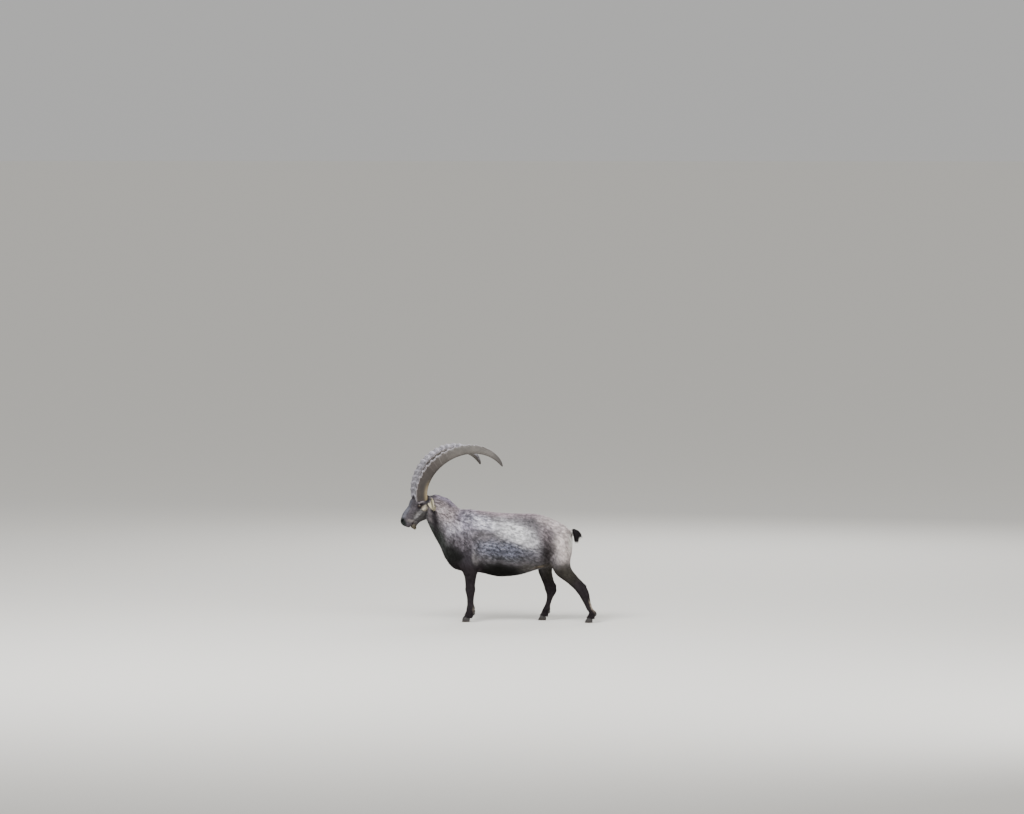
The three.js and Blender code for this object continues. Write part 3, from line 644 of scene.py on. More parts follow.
def body_form(stations, side=1.0, shift=0.0, rings_each=7, around=72, poles=(6, 6)):
    """A closed form through stations. Its ring at a share of its length is a superellipse between
    the outline points b and a: c = sgn(cos)|cos|^e runs from b to a with its middle at f, and the
    half width is w sgn(sin)|sin|^e (1 - k max(0, c))."""
    rows = np.array(
        [(*s[0], *s[1], *s[2:], *((0.5, 0.9, 0) if len(s) == 4 else ())) for s in stations], float
    )
    rows[:, [0, 2]] += shift
    count = (len(rows) - 1) * rings_each + 1
    t = np.linspace(0, 1, count)
    edge_a = curve(rows[:, [0, 1, 4]], t)
    edge_b = curve(np.c_[rows[:, [2, 3]], side * rows[:, 5]], t)
    f, e, k = (v[:, None] for v in curve(rows[:, 6:9], t).T)
    turn = 2 * np.pi * np.arange(around) / around
    cos, sin = np.cos(turn)[None, :], np.sin(turn)[None, :]
    c = np.sign(cos) * np.abs(cos) ** e
    along = np.where(c > 0, f + (1 - f) * c, f + f * c)
    across = edge_a[:, 2:] * np.sign(sin) * np.abs(sin) ** e * (1 - k * np.maximum(0, c))
    rings = np.stack(
        [
            edge_b[:, :1] + (edge_a[:, :1] - edge_b[:, :1]) * along,
            edge_b[:, 2:] + across,
            edge_b[:, 1:2] + (edge_a[:, 1:2] - edge_b[:, 1:2]) * along,
        ],
        -1,
    )
    middle = rings.mean(axis=1)
    first = middle[0] + unit(middle[0] - middle[1]) * poles[0]
    last = middle[-1] + unit(middle[-1] - middle[-2]) * poles[1]
    return loft(rings, first, last)


def ball(centre, reach, lean=0.0, rings=24, around=36):
    """An ellipsoid leant about the Y axis."""
    polar = np.pi * (np.arange(rings) + 0.5) / rings
    turn = 2 * np.pi * np.arange(around) / around
    p = np.stack(
        [
            np.sin(polar)[:, None] * np.cos(turn),
            np.sin(polar)[:, None] * np.sin(turn),
            np.cos(polar)[:, None] + 0 * turn,
        ],
        -1,
    )
    spin = np.array(Matrix.Rotation(lean, 3, "Y"))
    put = lambda q: (q * reach) @ spin.T + centre
    return loft(put(p), put(np.array([0, 0, 1.0])), put(np.array([0, 0, -1.0])))


def normals_of(points, faces):
    """Unit normals at the points, each the sum of its triangles' area vectors."""
    p = points[faces]
    area = np.cross(p[:, 1] - p[:, 0], p[:, 2] - p[:, 0])
    total = np.zeros_like(points)
    for corner in faces.T:
        for axis in range(3):
            total[:, axis] += np.bincount(corner, area[:, axis], len(points))
    return unit(total)


def moved(points, faces, steps, share=1.0):
    """Moves each point towards the mean of its neighbours by each step in turn, times its share
    (a step below 0 leads away from the mean)."""
    edges = np.vstack([faces[:, [i, (i + 1) % faces.shape[1]]] for i in range(faces.shape[1])])
    a, b = edges.T
    count = np.maximum(np.bincount(a, minlength=len(points)), 1)[:, None]
    for step in steps:
        mean = np.stack([np.bincount(a, points[b, i], len(points)) for i in range(3)], 1)
        points = points + (mean / count - points) * step * share
    return points


def relax(points, faces, rounds, share):
    """Smooths without shrinking: every round moves in by a step and out by a little more."""
    return moved(points, faces, (0.55, -0.57) * rounds, share[:, None])


def make(name, points, faces, material, uv=None, colours=None):
    """A mesh object from arrays, with an optional map and colours at its points."""
    mesh = bpy.data.meshes.new(name)
    mesh.vertices.add(len(points))
    mesh.vertices.foreach_set("co", to_world(points).astype(np.float32).ravel())
    mesh.loops.add(faces.size)
    mesh.loops.foreach_set("vertex_index", faces.astype(np.int32).ravel())
    mesh.polygons.add(len(faces))
    starts = np.arange(0, faces.size, faces.shape[1], dtype=np.int32)
    mesh.polygons.foreach_set("loop_start", starts)
    mesh.update(calc_edges=True)
    mesh.polygons.foreach_set("use_smooth", np.ones(len(faces), bool))
    if uv is not None:
        layer = mesh.uv_layers.new(name="OFBake")
        layer.data.foreach_set("uv", uv[faces.ravel()].astype(np.float32).ravel())
    if colours is not None:
        # The colours hold the coat's own colour together with its painted shade and highlights.
        layer = mesh.color_attributes.new(name="Colour_and_painted_light", type="FLOAT_COLOR", domain="POINT")
        rgba = np.c_[np.clip(colours, 0, 1), np.ones(len(points))]
        layer.data.foreach_set("color", rgba.astype(np.float32).ravel())
    mesh.materials.append(material)
    obj = bpy.data.objects.new(name, mesh)
    bpy.context.scene.collection.objects.link(obj)
    return obj


def rebuilt(points, faces, kind, **settings):
    """A surface after one modifier, as arrays in the part's millimetres."""
    obj = make("rebuilt", points, faces, material("rebuilt"))
    modifier = obj.modifiers.new("rebuilt", kind)
    for name, value in settings.items():
        setattr(modifier, name, value)
    result = read(obj)
    bpy.data.objects.remove(obj)
    return result


def read(obj):
    """An object's shape with its modifiers, as points and triangles or quads."""
    mesh = obj.evaluated_get(bpy.context.evaluated_depsgraph_get()).to_mesh()
    points = np.empty(len(mesh.vertices) * 3, np.float32)
    mesh.vertices.foreach_get("co", points)
    points = points.reshape(-1, 3).astype(float) / 0.001 - SHIFT
    corners = np.empty(len(mesh.loops), np.int32)
    mesh.loops.foreach_get("vertex_index", corners)
    totals = np.empty(len(mesh.polygons), np.int32)
    mesh.polygons.foreach_get("loop_total", totals)
    if (totals == 4).all():
        return points, corners.reshape(-1, 4)
    mesh.calc_loop_triangles()
    faces = np.empty(len(mesh.loop_triangles) * 3, np.int32)
    mesh.loop_triangles.foreach_get("vertices", faces)
    return points, faces.reshape(-1, 3)


# ---------------------------------------------------------------------------------------------
# Finishes


def material(name):
    found = bpy.data.materials.get(name)
    if found is None:
        found = bpy.data.materials.new(name)
        found.use_nodes = True
    return found


def add(nodes, kind, inputs=(), **settings):
    """Adds a node, sets its properties and its inputs, and links inputs that are sockets."""
    node = nodes.nodes.new(kind)
    for name, value in settings.items():
        setattr(node, name, value)
    for name, value in dict(inputs).items():
        if isinstance(value, bpy.types.NodeSocket):
            nodes.links.new(value, node.inputs[name])
        else:
            node.inputs[name].default_value = value
    return node


def finish_of(name, inputs, inked=True, noise=None, shades=None, bump=None):
    """Returns the finish of that name, made the first time: the shader's inputs; its colour from
    the mesh if inked; and with noise the colour times shades, from the noise's low to its high,
    and a fine bump of that strength and distance."""
    found = bpy.data.materials.get(name)
    if found is not None:
        return found
    found = material(name)
    tree, shader = found.node_tree, found.node_tree.nodes["Principled BSDF"]
    for key, value in inputs.items():
        shader.inputs[key].default_value = value
    if not inked:
        return found
    # The mesh's colours, painted shade and highlights included.
    ink = add(tree, "ShaderNodeAttribute", attribute_name="Colour_and_painted_light").outputs["Color"]
    if noise is not None:
        place = add(tree, "ShaderNodeTexCoord").outputs["Object"]
        fine = add(tree, "ShaderNodeTexNoise", {"Vector": place, **noise}).outputs["Fac"]
        span = {"From Min": 0.3, "From Max": 0.7, "To Min": shades[0], "To Max": shades[1]}
        shade = add(tree, "ShaderNodeMapRange", {"Value": fine, **span}).outputs["Result"]
        mixed = add(tree, "ShaderNodeVectorMath", {0: ink, 1: shade}, operation="MULTIPLY")
        ink = mixed.outputs[0]
        raised = add(
            tree, "ShaderNodeBump", {"Height": fine, "Strength": bump[0], "Distance": bump[1]}
        )
        tree.links.new(raised.outputs["Normal"], shader.inputs["Normal"])
    tree.links.new(ink, shader.inputs["Base Color"])
    return found


def coat_finish():
    """Short dense hair: dry keratin, nearly without gloss, with a fine broken grain across it."""
    return finish_of(
        "ibex_coat",
        {"Roughness": 0.75, "Specular IOR Level": 0.08},
        noise={"Scale": 420.0, "Detail": 3.0},
        shades=(0.82, 1.16),
        bump=(0.5, 0.0008),
    )


def horn_finish():
    """Horn: dense keratin with fine growth rings, dull with an even low gloss."""
    return finish_of(
        "ridged_horn",
        {"Roughness": 0.55, "Specular IOR Level": 0.4},
        noise={"Scale": 260.0, "Detail": 4.0, "Roughness": 0.6},
        shades=(0.8, 1.18),
        bump=(0.45, 0.0012),
    )


def claw_finish():
    """Claw horn: hard dark keratin, scuffed to a dull grey-brown towards the ground."""
    return finish_of(
        "claw_horn",
        {"Roughness": 0.5},
        noise={"Scale": 180.0, "Detail": 4.0},
        shades=(0.8, 1.25),
        bump=(0.3, 0.0008),
    )


def eye_finish():
    """A wet eye: amber iris with a level dark pupil under a clear glossy cornea."""
    gloss = {"Coat Weight": 1.0, "Coat Roughness": 0.02}
    return finish_of("wet_eye", {"Roughness": 0.3, "Specular IOR Level": 0.15, **gloss})


def floor_finish():
    """A plain pale studio floor."""
    ink = (*colour("floor"), 1)
    inputs = {"Base Color": ink, "Roughness": 0.9, "Specular IOR Level": 0.1}
    return finish_of("studio_floor", inputs, inked=False)


# ---------------------------------------------------------------------------------------------
# Coat regions and markings


def neck_middle(x):
    """The y of the neck's middle line, which bends to the left towards the head."""
    return -np.interp(x, [-600, -520, -400, -300], [34, 20, 9, 0])


def facing(points):
    """For each point: its place in side view (x, z) with the head's turn undone, its distance from
    the mid-plane, and 1 on the head, 0 behind it."""
    local = head_local(points)
    x, y, z = points.T
    head = rise(-(x + 566 + (z - 920) * -0.217), -22, 22) * rise(z, 700, 740)
    straight = HEAD_PIVOT[0] + (local[:, 0] - HEAD_PIVOT[0]) * math.cos(HEAD_TURN)
    flat = np.stack(
        [x * (1 - head) + straight * head, z * (1 - head) + local[:, 2] * head], 1
    )
    out = (y - neck_middle(x)) * (1 - head) + local[:, 1] * head
    return flat, out, head


def ellipse(flat, x, z, reach, across, lean, hard):
    """1 inside a leant ellipse of the side view and falling to 0 outside: exp(-d^(2 hard))."""
    c, s = math.cos(math.radians(lean)), math.sin(math.radians(lean))
    dx, dz = flat[:, 0] - x, flat[:, 1] - z
    d2 = ((dx * c + dz * s) / reach) ** 2 + ((dz * c - dx * s) / across) ** 2
    return np.exp(-(d2**hard))


def markings(points):
    """The coat's colour at each point, and how much single tufts differ there. Each marking is a
    soft ellipse of the side view, its edge broken by noise, laid over those before it. A few
    markings are painted shade, others painted highlights."""
    flat, out, head = facing(points)
    broken = [
        13 * grain(points, 60, seed) + 5 * grain(points, 17, seed + 1) for seed in (1, 3)
    ]
    flat = flat + np.stack(broken, 1) * (1 - 0.8 * head[:, None])
    ink = np.tile(colour("flank"), (len(points), 1))
    vary = np.full(len(points), 0.18)

    def lay(name, share, differ=None):
        nonlocal ink, vary
        ink = ink + (colour(name) - ink) * share[:, None]
        if differ is not None:
            vary = vary + (differ - vary) * share

    def lay_all(table, mask):
        for name, x, z, reach, across, lean, hard, share, differ in table:
            lay(name, share * mask * ellipse(flat, x, z, reach, across, lean, hard), differ)

    body = 1 - head
    lay_all(MARKINGS, body)
    beside = rise(np.abs(out), 40, 70)
    for low, high, x0, x1 in ((430, 520, -420, -120), (400, 500, 280, 900)):
        leg = body * (1 - rise(points[:, 2], low, high)) * beside
        leg *= (points[:, 0] > x0) & (points[:, 0] < x1)
        lay("leg", leg, 0.1)
    lay("leg", body * (1 - rise(points[:, 2], 330, 365)))
    lay_all(LEG_MARKINGS, body)
    lay("face", head, 0.12)
    off = rise(np.abs(out), 2, 8)
    for row in FACE_MARKINGS:
        paired = row[0] in ("nostril", "lids", "eye_patch", "cheek")
        lay_all((row,), head * (off if paired else 1))
    behind = rise(points[:, 0], 588, 600) * rise(points[:, 2], 690, 706)
    lay("tail", behind * (1 - rise(np.abs(out), 20, 32)))
    speckle = 2.3 * np.tanh(2.8 * grain(points * [0.85, 1, 1], 9, 7))
    speckle = speckle + 0.4 * grain(points * [0.6, 1, 1], 30, 8)
    return ink * np.exp(vary * speckle)[:, None], vary


def coat_at(points):
    """Lie, length, breadth, lift and spacing of the coat at each point: the rows of COAT, each
    weighted by exp(-d^2) of its distance in side view."""
    flat, out, head = facing(points)
    total = np.full(len(points), 1e-12)
    rows = np.zeros((len(points), 6))
    for _, x, z, reach, *values in COAT:
        w = np.exp(-((flat[:, 0] - x) ** 2 + (flat[:, 1] - z) ** 2) / reach**2)
        total += w
        rows += w[:, None] * values
    lie_x, lie_z, hair, breadth, lift, pitch = (rows / total[:, None]).T
    lie = np.stack([lie_x, 0.06 * np.sign(out), lie_z], 1)
    lie = lie * (1 - head[:, None]) + lie @ HEAD_AXES.T * head[:, None]
    return unit(lie), hair, breadth, lift, pitch


# ---------------------------------------------------------------------------------------------
# The skin


def flesh():
    """The trunk, head, legs and tail root as one closed surface: their forms, joined on a grid."""
    forms = [body_form(TRUNK, around=96)]
    forms += [body_form(leg, side, shift, poles=(6, 1)) for leg, _, side, shift in LEGS]
    forms.append(body_form(TAIL))
    straight = [((ahead(a[0]), a[1]), (ahead(b[0]), b[1]), *rest) for a, b, *rest in HEAD]
    head = [body_form(straight, around=96), ball(on_head(CHIN, 0), (20, 25, 21), -0.5)]
    for side in SIDES.values():
        head.append(ball(on_head((-643, 55, 950), side), (33, 25, 14), 0.15))
        head.append(ball(on_head((-650, 57, 927), side), (27, 23, 19), 0.4))
    forms += [(head_place(p), f) for p, f in head]
    points, faces = together(forms)
    step = sizes().skin_step * 0.001
    return rebuilt(points, faces, kind="REMESH", mode="VOXEL", voxel_size=step)


def off_stem(local, side, reach):
    """A horn's root line, up to that share of its length, and for each point of the straight head
    its way and its distance from the line."""
    horn, _, _ = horn_frames(side, np.array([0.0, reach]))
    stem = unit(horn[1] - horn[0])
    away = local - horn[0]
    away = away - (away @ stem)[:, None] * stem
    return stem, away, np.linalg.norm(away, axis=1)


def off_line(flat, a, b):
    """The distance of each point of the side view from the line between a and b."""
    run = np.subtract(b, a)
    u = np.clip((flat - a) @ run / (run @ run), 0, 1)
    return np.linalg.norm(flat - a - u[:, None] * run, axis=1)


def sculpt(points, faces):
    """Moves the joined flesh along its normals: in by the depth of the coat, out over muscle and
    bone, in at hollows and the mouth line."""
    normal = normals_of(points, faces)
    flat, out, head = facing(points)
    local = head_local(points)
    drawn = np.stack([flat[:, 0], np.abs(out), flat[:, 1]], 1)
    move = np.zeros(len(points))
    for table, mask in ((SWELLINGS, 1 - head), (FACE_FORMS, head)):
        for x, y, z, rx, ry, rz, height in table:
            bump = np.exp(-(((drawn - (x, y, z)) / (rx, ry, rz)) ** 2).sum(axis=1))
            move += mask * height * bump
    for _, kind, side, shift in LEGS:
        beside = points[:, 1] * side > 30
        for x, z, rx, rz, height in LEG_FORMS[kind]:
            across = ((points[:, 0] - x - shift) / rx) ** 2 + ((points[:, 2] - z) / rz) ** 2
            move += beside * height * np.exp(-across)
    # the roll of skin round the horns, then the corner of the mouth
    for side in SIDES.values():
        roll = np.exp(-(((off_stem(local, side, 0.05)[2] - 50) / 9) ** 2))
        roll *= rise(local[:, 2], 945, 970) * (1 - rise(local[:, 2], 1010, 1035))
        move += head * 4.5 * roll
    mouth = np.array(MOUTH, float)
    nearest = np.minimum(*(off_line(flat, a, b) for a, b in zip(mouth[:-1], mouth[1:])))
    move -= head * 5.0 * np.exp(-((nearest / 3.2) ** 2))
    # the depth of the coat, less on the head and the feet and least round the eyes
    thick = sizes().coat_depth * (1 - 0.62 * head) * rise(points[:, 2], 60, 480)
    thick = np.maximum(thick, 2.2 + 1.2 * rise(points[:, 2], 40, 200))
    near_eye = np.zeros(len(points))
    for side in SIDES.values():
        away = np.linalg.norm(local - eye_axes(side)[0], axis=1)
        near_eye = np.maximum(near_eye, np.exp(-((away / 34) ** 4)))
    thick = thick * (1 - near_eye * head) + 1.0 * near_eye * head
    muzzle = head * rise(-flat[:, 0], 680, 740)
    thick = thick * (1 - muzzle) + 2.0 * muzzle
    points = points + normal * (move - thick)[:, None]
    for side in SIDES.values():
        points = open_eye(points, side)
    return points


def open_eye(points, side):
    """Presses the skin in front of an eyeball to behind its face, within the almond of the lids."""
    local = head_local(points)
    centre, axis, level, up = eye_axes(side)
    v = local - centre
    a, b, deep = v @ level, v @ up, v @ axis
    m = np.sqrt((a / 15.5) ** 2 + (b / 10.5) ** 2)
    mask = (1 - rise(m, 1.0, 1.4)) * (deep > 0) * (np.linalg.norm(v, axis=1) < 45)
    reach = sizes().eye_radius - 3.5
    target = centre + unit(v) * reach
    local = local + (target - local) * mask[:, None]
    return head_place(local)


def ear_form(side, rings=46, half=26):
    """One ear: crescent rings along a line that leaves the skull behind the horn and hangs back.
    At share t the breadth is (9 + 23 sin^1.1) (1 - t^2/4), the depth 0.95 to 0.5 of it."""
    reach = sizes().ear_length
    root, along, mouth = ear_axes(side)
    across = np.cross(along, mouth)
    t = np.linspace(-0.05, 1, rings)[:, None]
    shape = np.clip(t * 0.86 + 0.1, 0, 1)
    breadth = (9 + 23 * np.sin(np.pi * shape) ** 1.1) * (1 - 0.25 * t * t) - 1.5
    depth = breadth * (0.95 - 0.45 * t)
    wall = 4.2 - 2.0 * t
    filled = np.clip(1 - t / 0.2, 0, 1)
    turn = np.pi * (0.06 + 0.88 * np.arange(half + 1) / half)[None, :]
    inner_turn = turn[:, half - 1 : 0 : -1]
    centre = root + along * reach * t * 0.95
    fold = 1.4 * np.sin(turn * 5) * np.sin(np.pi * np.clip(t, 0, 1)) ** 2
    out_a = np.broadcast_to(breadth * np.cos(turn), (rings, half + 1))
    out_m = depth * 0.45 - depth * np.sin(turn)
    inner = (depth - wall) * (1 - filled) - filled * depth * 0.35
    inner = inner * np.sin(inner_turn)
    in_a = (breadth - wall * 0.6) * np.cos(inner_turn)
    in_m = depth * 0.45 - inner + fold[:, half - 1 : 0 : -1]
    a = np.hstack([out_a, in_a])[:, :, None]
    m = np.hstack([out_m, in_m])[:, :, None]
    ring = centre[:, None, :] + a * across + m * mouth
    points, faces = loft(ring, root - along * 9, root + along * reach * 0.99)
    return head_place(points), faces


def prism(outline, low, high):
    """A closed prism across the straight head over an outline in side view."""
    count = len(outline)
    points = np.array([(ahead(x), y, z) for y in (low, high) for x, z in outline], float)
    faces = []
    for i in range(count):
        j = (i + 1) % count
        faces += [(i, j, count + j), (i, count + j, count + i)]
    faces += [(0, i + 1, i) for i in range(1, count - 1)]
    faces += [(count, count + i, count + i + 1) for i in range(1, count - 1)]
    return head_place(points), outwards(points, np.array(faces))


def combined(points, faces, others, operation):
    """The surface with each of the others joined to it or cut from it."""
    body = make("body_form", points, faces, coat_finish())
    made = []
    for index, other in enumerate(others):
        tool = make(f"tool_form_{index}", *other, coat_finish())
        step = body.modifiers.new(tool.name, "BOOLEAN")
        step.operation, step.solver, step.object = operation, "MANIFOLD", tool
        made.append(tool)
    result = read(body)
    for obj in [body] + made:
        bpy.data.objects.remove(obj)
    return result


def joined_skin():
    """The flesh, with the notch of the mouth and the nostrils cut in it, smoothed and sculpted,
    then both ears joined on and the whole thinned where it is flat."""
    points, faces = flesh()
    cuts = [prism(NOTCH, -100, 100)]
    for side in SIDES.values():
        hole, turned = ball(on_head(NOSTRIL, side), (4.6, 13, 14.0), 0.5)
        cuts.append((head_place(hole), turned))
    points, faces = combined(points, faces, cuts, "DIFFERENCE")
    head = facing(points)[2]
    share = 0.9 - 0.5 * head - 0.3 * (1 - rise(points[:, 2], 60, 300))
    share = np.clip(share, 0.2, 1)
    points = relax(points, faces, 9, share)
    fold = np.zeros(len(points))
    for x, z, reach, across in FOLDS:
        fold = np.maximum(fold, ellipse(points[:, [0, 2]], x, z, reach, across, 0, 3))
    for _ in range(2):
        points = relax(points, faces, 8, fold)
        blurred = moved(points, faces, (0.5,) * 34)
        points = points + (blurred - points) * 0.85 * fold[:, None]
    points = sculpt(points, faces)
    points = relax(points, faces, 2, share)
    points, faces = combined(points, faces, [ear_form(side) for side in SIDES.values()], "UNION")
    return rebuilt(points, faces, kind="DECIMATE", ratio=SKIN_TRIANGLES / len(faces))


# ---------------------------------------------------------------------------------------------
# Tufts


def scatter(points, faces, keep, pitch, most, seed):
    """Seeded roots over a surface: each triangle gets its area / pitch^2 of them."""
    draw = np.random.default_rng(seed)
    p = points[faces]
    area = np.linalg.norm(np.cross(p[:, 1] - p[:, 0], p[:, 2] - p[:, 0]), axis=1) / 2
    want = area / pitch[faces].mean(axis=1) ** 2 * keep[faces].min(axis=1)
    total = min(int(want.sum()), most)
    ends = np.cumsum(want)
    chosen = np.searchsorted(ends, (np.arange(total) + draw.random(total)) * ends[-1] / total)
    chosen = np.minimum(chosen, len(faces) - 1)
    u, v = np.sqrt(draw.random(total)), draw.random(total)
    share = np.stack([1 - u, u * (1 - v), u * v], 1)
    return chosen, share


def strand_faces(count, corners, steps):
    """Triangles of closed strands: each has steps rings of corners and a tip."""
    local = [[j + 1, j, 0] for j in range(1, corners - 1)]
    for a in range(corners * (steps - 1)):
        b = a + 1 if (a + 1) % corners else a + 1 - corners
        local += [[a, b, a + corners], [b, b + corners, a + corners]]
    top = corners * (steps - 1)
    local += [[top + j, top + (j + 1) % corners, corners * steps] for j in range(corners)]
    starts = np.arange(count)[:, None, None] * (corners * steps + 1)
    return (starts + np.array(local)).reshape(-1, 3)


def strands(rings, tip, corners, ink, shades, u, v, corner_uv):
    """Closed strands from their rings and tips, their colour times the shades of each ring and of
    the tip, and their map: a small patch at each root's place (u, v) on the unwrap."""
    steps = len(rings)
    points = np.concatenate(rings + [tip[:, None, :]], axis=1).reshape(-1, 3)
    colours = ink[:, None, :] * np.repeat(shades, [corners] * steps + [1])[None, :, None]
    uv = np.stack([u, v], 1)[:, None] * 0.98 + 0.01 + corner_uv * PATCH / 2
    faces = strand_faces(len(tip), corners, steps)
    return points, faces, colours.reshape(-1, 3), uv.reshape(-1, 2)


def blades(roots, normal, lie, hair, breadth, lift, ink, u, v, steps, draw, sink):
    """Tapered three-sided hairs that leave their roots along the lie, lifted by an angle that falls
    to a quarter from step to step. Painted shade darkens them at the root; paler at the tip."""
    lie = unit(lie - normal * np.einsum("ij,ij->i", lie, normal)[:, None])
    side = np.cross(normal, lie)
    centre = roots - normal * sink
    angle = lift
    sway = draw.normal(0, 0.10, len(roots))
    rings, root_shading, corner_uv = [], [], []
    for i in range(steps):
        t = i / steps
        wide = breadth * (1 - t**1.6) * (1.0 if i else 0.85)
        corners = [
            centre - side * (wide / 2)[:, None],
            centre + side * (wide / 2)[:, None],
            centre + normal * (wide * 0.42)[:, None],
        ]
        rings.append(np.stack(corners, 1))
        # Painted shade: each ring darker towards the root, the tip paler.
        root_shading.append((0.66 if steps > 1 else 0.88) + 0.42 * t)
        corner_uv.append(np.array([[-1, -1], [1, -1], [0, 1]]) * (1 - 0.6 * t))
        heading = lie * np.cos(angle)[:, None] + normal * np.sin(angle)[:, None]
        heading = unit(heading + side * (sway * (i + 1))[:, None])
        centre = centre + heading * (hair / steps)[:, None]
        angle = angle * 0.25
    corner_uv = np.vstack(corner_uv + [[[0, 0]]])
    return strands(rings, centre, 3, ink, root_shading + [1.12], u, v, corner_uv)


def unwrap(points, line, halves):
    """A point's share along a bent middle line, and its angle about it as a share of the turn (or
    of the half turn that one side of the body covers)."""
    line = np.asarray(line, float)
    lengths = np.linalg.norm(np.diff(line, axis=0), axis=1)
    ends = np.r_[0, np.cumsum(lengths)]
    best = np.full(len(points), 1e9)
    share = np.zeros(len(points))
    foot = np.zeros_like(points)
    along = np.zeros_like(points)
    for a, b, start, size in zip(line[:-1], line[1:], ends, lengths):
        way = (b - a) / size
        low = 0 if start > 0 else -400
        high = size if start + size < ends[-1] - 1 else size + 400
        clipped = np.clip((points - a) @ way, low, high)
        near = a + clipped[:, None] * way
        distance = np.linalg.norm(points - near, axis=1)
        closer = distance < best
        best = np.where(closer, distance, best)
        share = np.where(closer, start + clipped, share)
        foot[closer], along[closer] = near[closer], way
    away = points - foot
    up = (away * np.cross(along, [0.0, 1.0, 0.0])).sum(1)
    if halves:
        angle = np.arctan2(up, np.abs(away[:, 1])) / np.pi + 0.5
    else:
        angle = np.arctan2(up, away[:, 1]) / (2 * np.pi) + 0.5
    low, high = share.min(), share.max()
    return (share - low) / max(high - low, 1e-6), angle


def coat_pieces(roots, head, out):
    """Names the piece of the coat each root belongs to."""
    x, y, z = roots.T
    neck = x < -345 - (z - 750) * 0.2
    part = np.full(len(roots), "trunk_mid", dtype="<U20")
    left = y < 0
    for name, where, on_left in (
        ("trunk_ribs", x < 130, y < 0),
        ("trunk_front", x < -100, y < 0),
        ("trunk_rear", x > 350, y < 0),
        ("neck", neck, y < neck_middle(x)),
        ("leg_fore", (z < 352) & (x < 0), y < 0),
        ("leg_hind", (z < 352) & (x > 0), y < 0),
        ("head", head > 0.5, out < 0),
    ):
        part[where] = name
        left = np.where(where, on_left, left)
    return np.char.add(part, np.where(left, "_left", "_right"))


def grow_coat(points, faces, ear_point):
    """Tufts over the whole skin, in pieces, each on its own unwrap of the skin."""
    draw = np.random.default_rng(4)
    normal = normals_of(points, faces)
    flat, out, head = facing(points)
    lie, hair, breadth, lift, pitch = coat_at(points)
    local = head_local(points)
    # Bare between the lids, under the horns, in the notch of the mouth and in the nostrils; hair
    # stands up round the horns.
    keep = np.ones(len(points))
    for side in SIDES.values():
        centre, axis, level, up = eye_axes(side)
        v = local - centre
        inside = (((v @ level) / 16) ** 2 + ((v @ up) / 10.5) ** 2 < 1) & (v @ axis > 0)
        keep[inside & (np.linalg.norm(v, axis=1) < 45)] = 0
        for place in horn_frames(side, np.array([0.0, 0.03, 0.06]))[0]:
            keep[np.linalg.norm(local - place, axis=1) < 32] = 0
        stem, away, off = off_stem(local, side, 0.06)
        collar = (1 - rise(off, 42, 58)) * head * (local[:, 2] > 940) * (local[:, 2] < 1060)
        along = HEAD_AXES @ stem + 0.25 * unit(away) @ HEAD_AXES.T
        lie = unit(lie * (1 - 0.85 * collar[:, None]) + along * 0.85 * collar[:, None])
        hair = hair * (1 - collar) + 15 * collar
        lift = lift * (1 - collar) + 20 * collar
    for end in NOTCH[1:]:
        keep[(off_line(flat, NOTCH[0], end) < 3) & (head > 0.5)] = 0
    hole = ellipse(flat, NOSTRIL[0], NOSTRIL[2], 17, 8, 61, 3) * (np.abs(out) > 9)
    keep[hole * (head > 0.5) > 0.5] = 0
    inside = ear_inside(local, normal)
    pitch = np.where(ear_point, 2.0, pitch)
    hair = np.where(ear_point, 5.5 + 5 * inside, hair)
    breadth = np.where(ear_point, 1.2, breadth)
    lift = np.where(ear_point, 8.0 + 8 * inside, lift)
    chosen, share = scatter(points, faces, keep, pitch, sizes().tufts, 4)
    at = lambda values: np.einsum("ij,ij...->i...", share, values[faces[chosen]])
    roots, n, way = at(points), unit(at(normal)), at(lie)
    ink, vary = markings(roots)
    on_ear = at(ear_point.astype(float)) > 0.5
    ink, way = ear_coat(roots, n, ink, way, on_ear)
    chance = lambda: draw.normal(0, 1, len(roots))
    ink = np.clip(ink * np.exp(1.2 * vary * chance())[:, None], 0, 0.9)
    swing = np.radians(9) * chance() + np.radians(16) * grain(roots, 38, 22)
    way = way * np.cos(swing)[:, None] + np.cross(n, way) * np.sin(swing)[:, None]
    scale = np.exp(0.16 * chance() + 0.12 * grain(roots, 30, 23))
    long = at(hair) * scale * sizes().coat_length
    wide = at(breadth) * np.exp(0.15 * chance())
    lifted = np.radians(np.clip(at(lift) * np.exp(0.3 * chance()), 4, 45))
    names = coat_pieces(roots, at(head), at(out))
    names[on_ear] = "ears"
    pieces = []
    for name in np.unique(names):
        mine = names == name
        short = name.startswith(("leg", "head", "ears"))
        steps, sink = (1, 0.6) if short else (2, 1.2)
        u, v = root_map(name, roots[mine])
        given = (values[mine] for values in (roots, n, way, long, wide, lifted, ink))
        body = blades(*given, u, v, steps, draw, sink)
        pieces.append((str(name), body))
    return pieces


def root_map(name, roots):
    """The place of each root on its piece's unwrap."""
    if name.startswith(("trunk", "neck")):
        return unwrap(roots, LINES[name.split("_")[0]], True)
    if name.startswith("leg"):
        return unwrap(roots, LINES[name[4:]], False)
    line = [on_head(place, 0) for place in HEAD_LINES["ears" if name == "ears" else "head"]]
    return unwrap(head_local(roots), line, name != "ears")


def on_ears(points):
    """Whether each point of the skin lies on an ear."""
    local = head_local(points)
    found = np.zeros(len(points), bool)
    for side in SIDES.values():
        root, along, _ = ear_axes(side)
        share = (local - root) @ along
        away = np.linalg.norm(local - root - share[:, None] * along, axis=1)
        near = (share > 16) & (share < 130) & (away < 48)
        outer = (local[:, 1] * side > 62) & (np.abs(local[:, 1]) > 70 - 0.05 * share)
        found |= near & outer
    return found


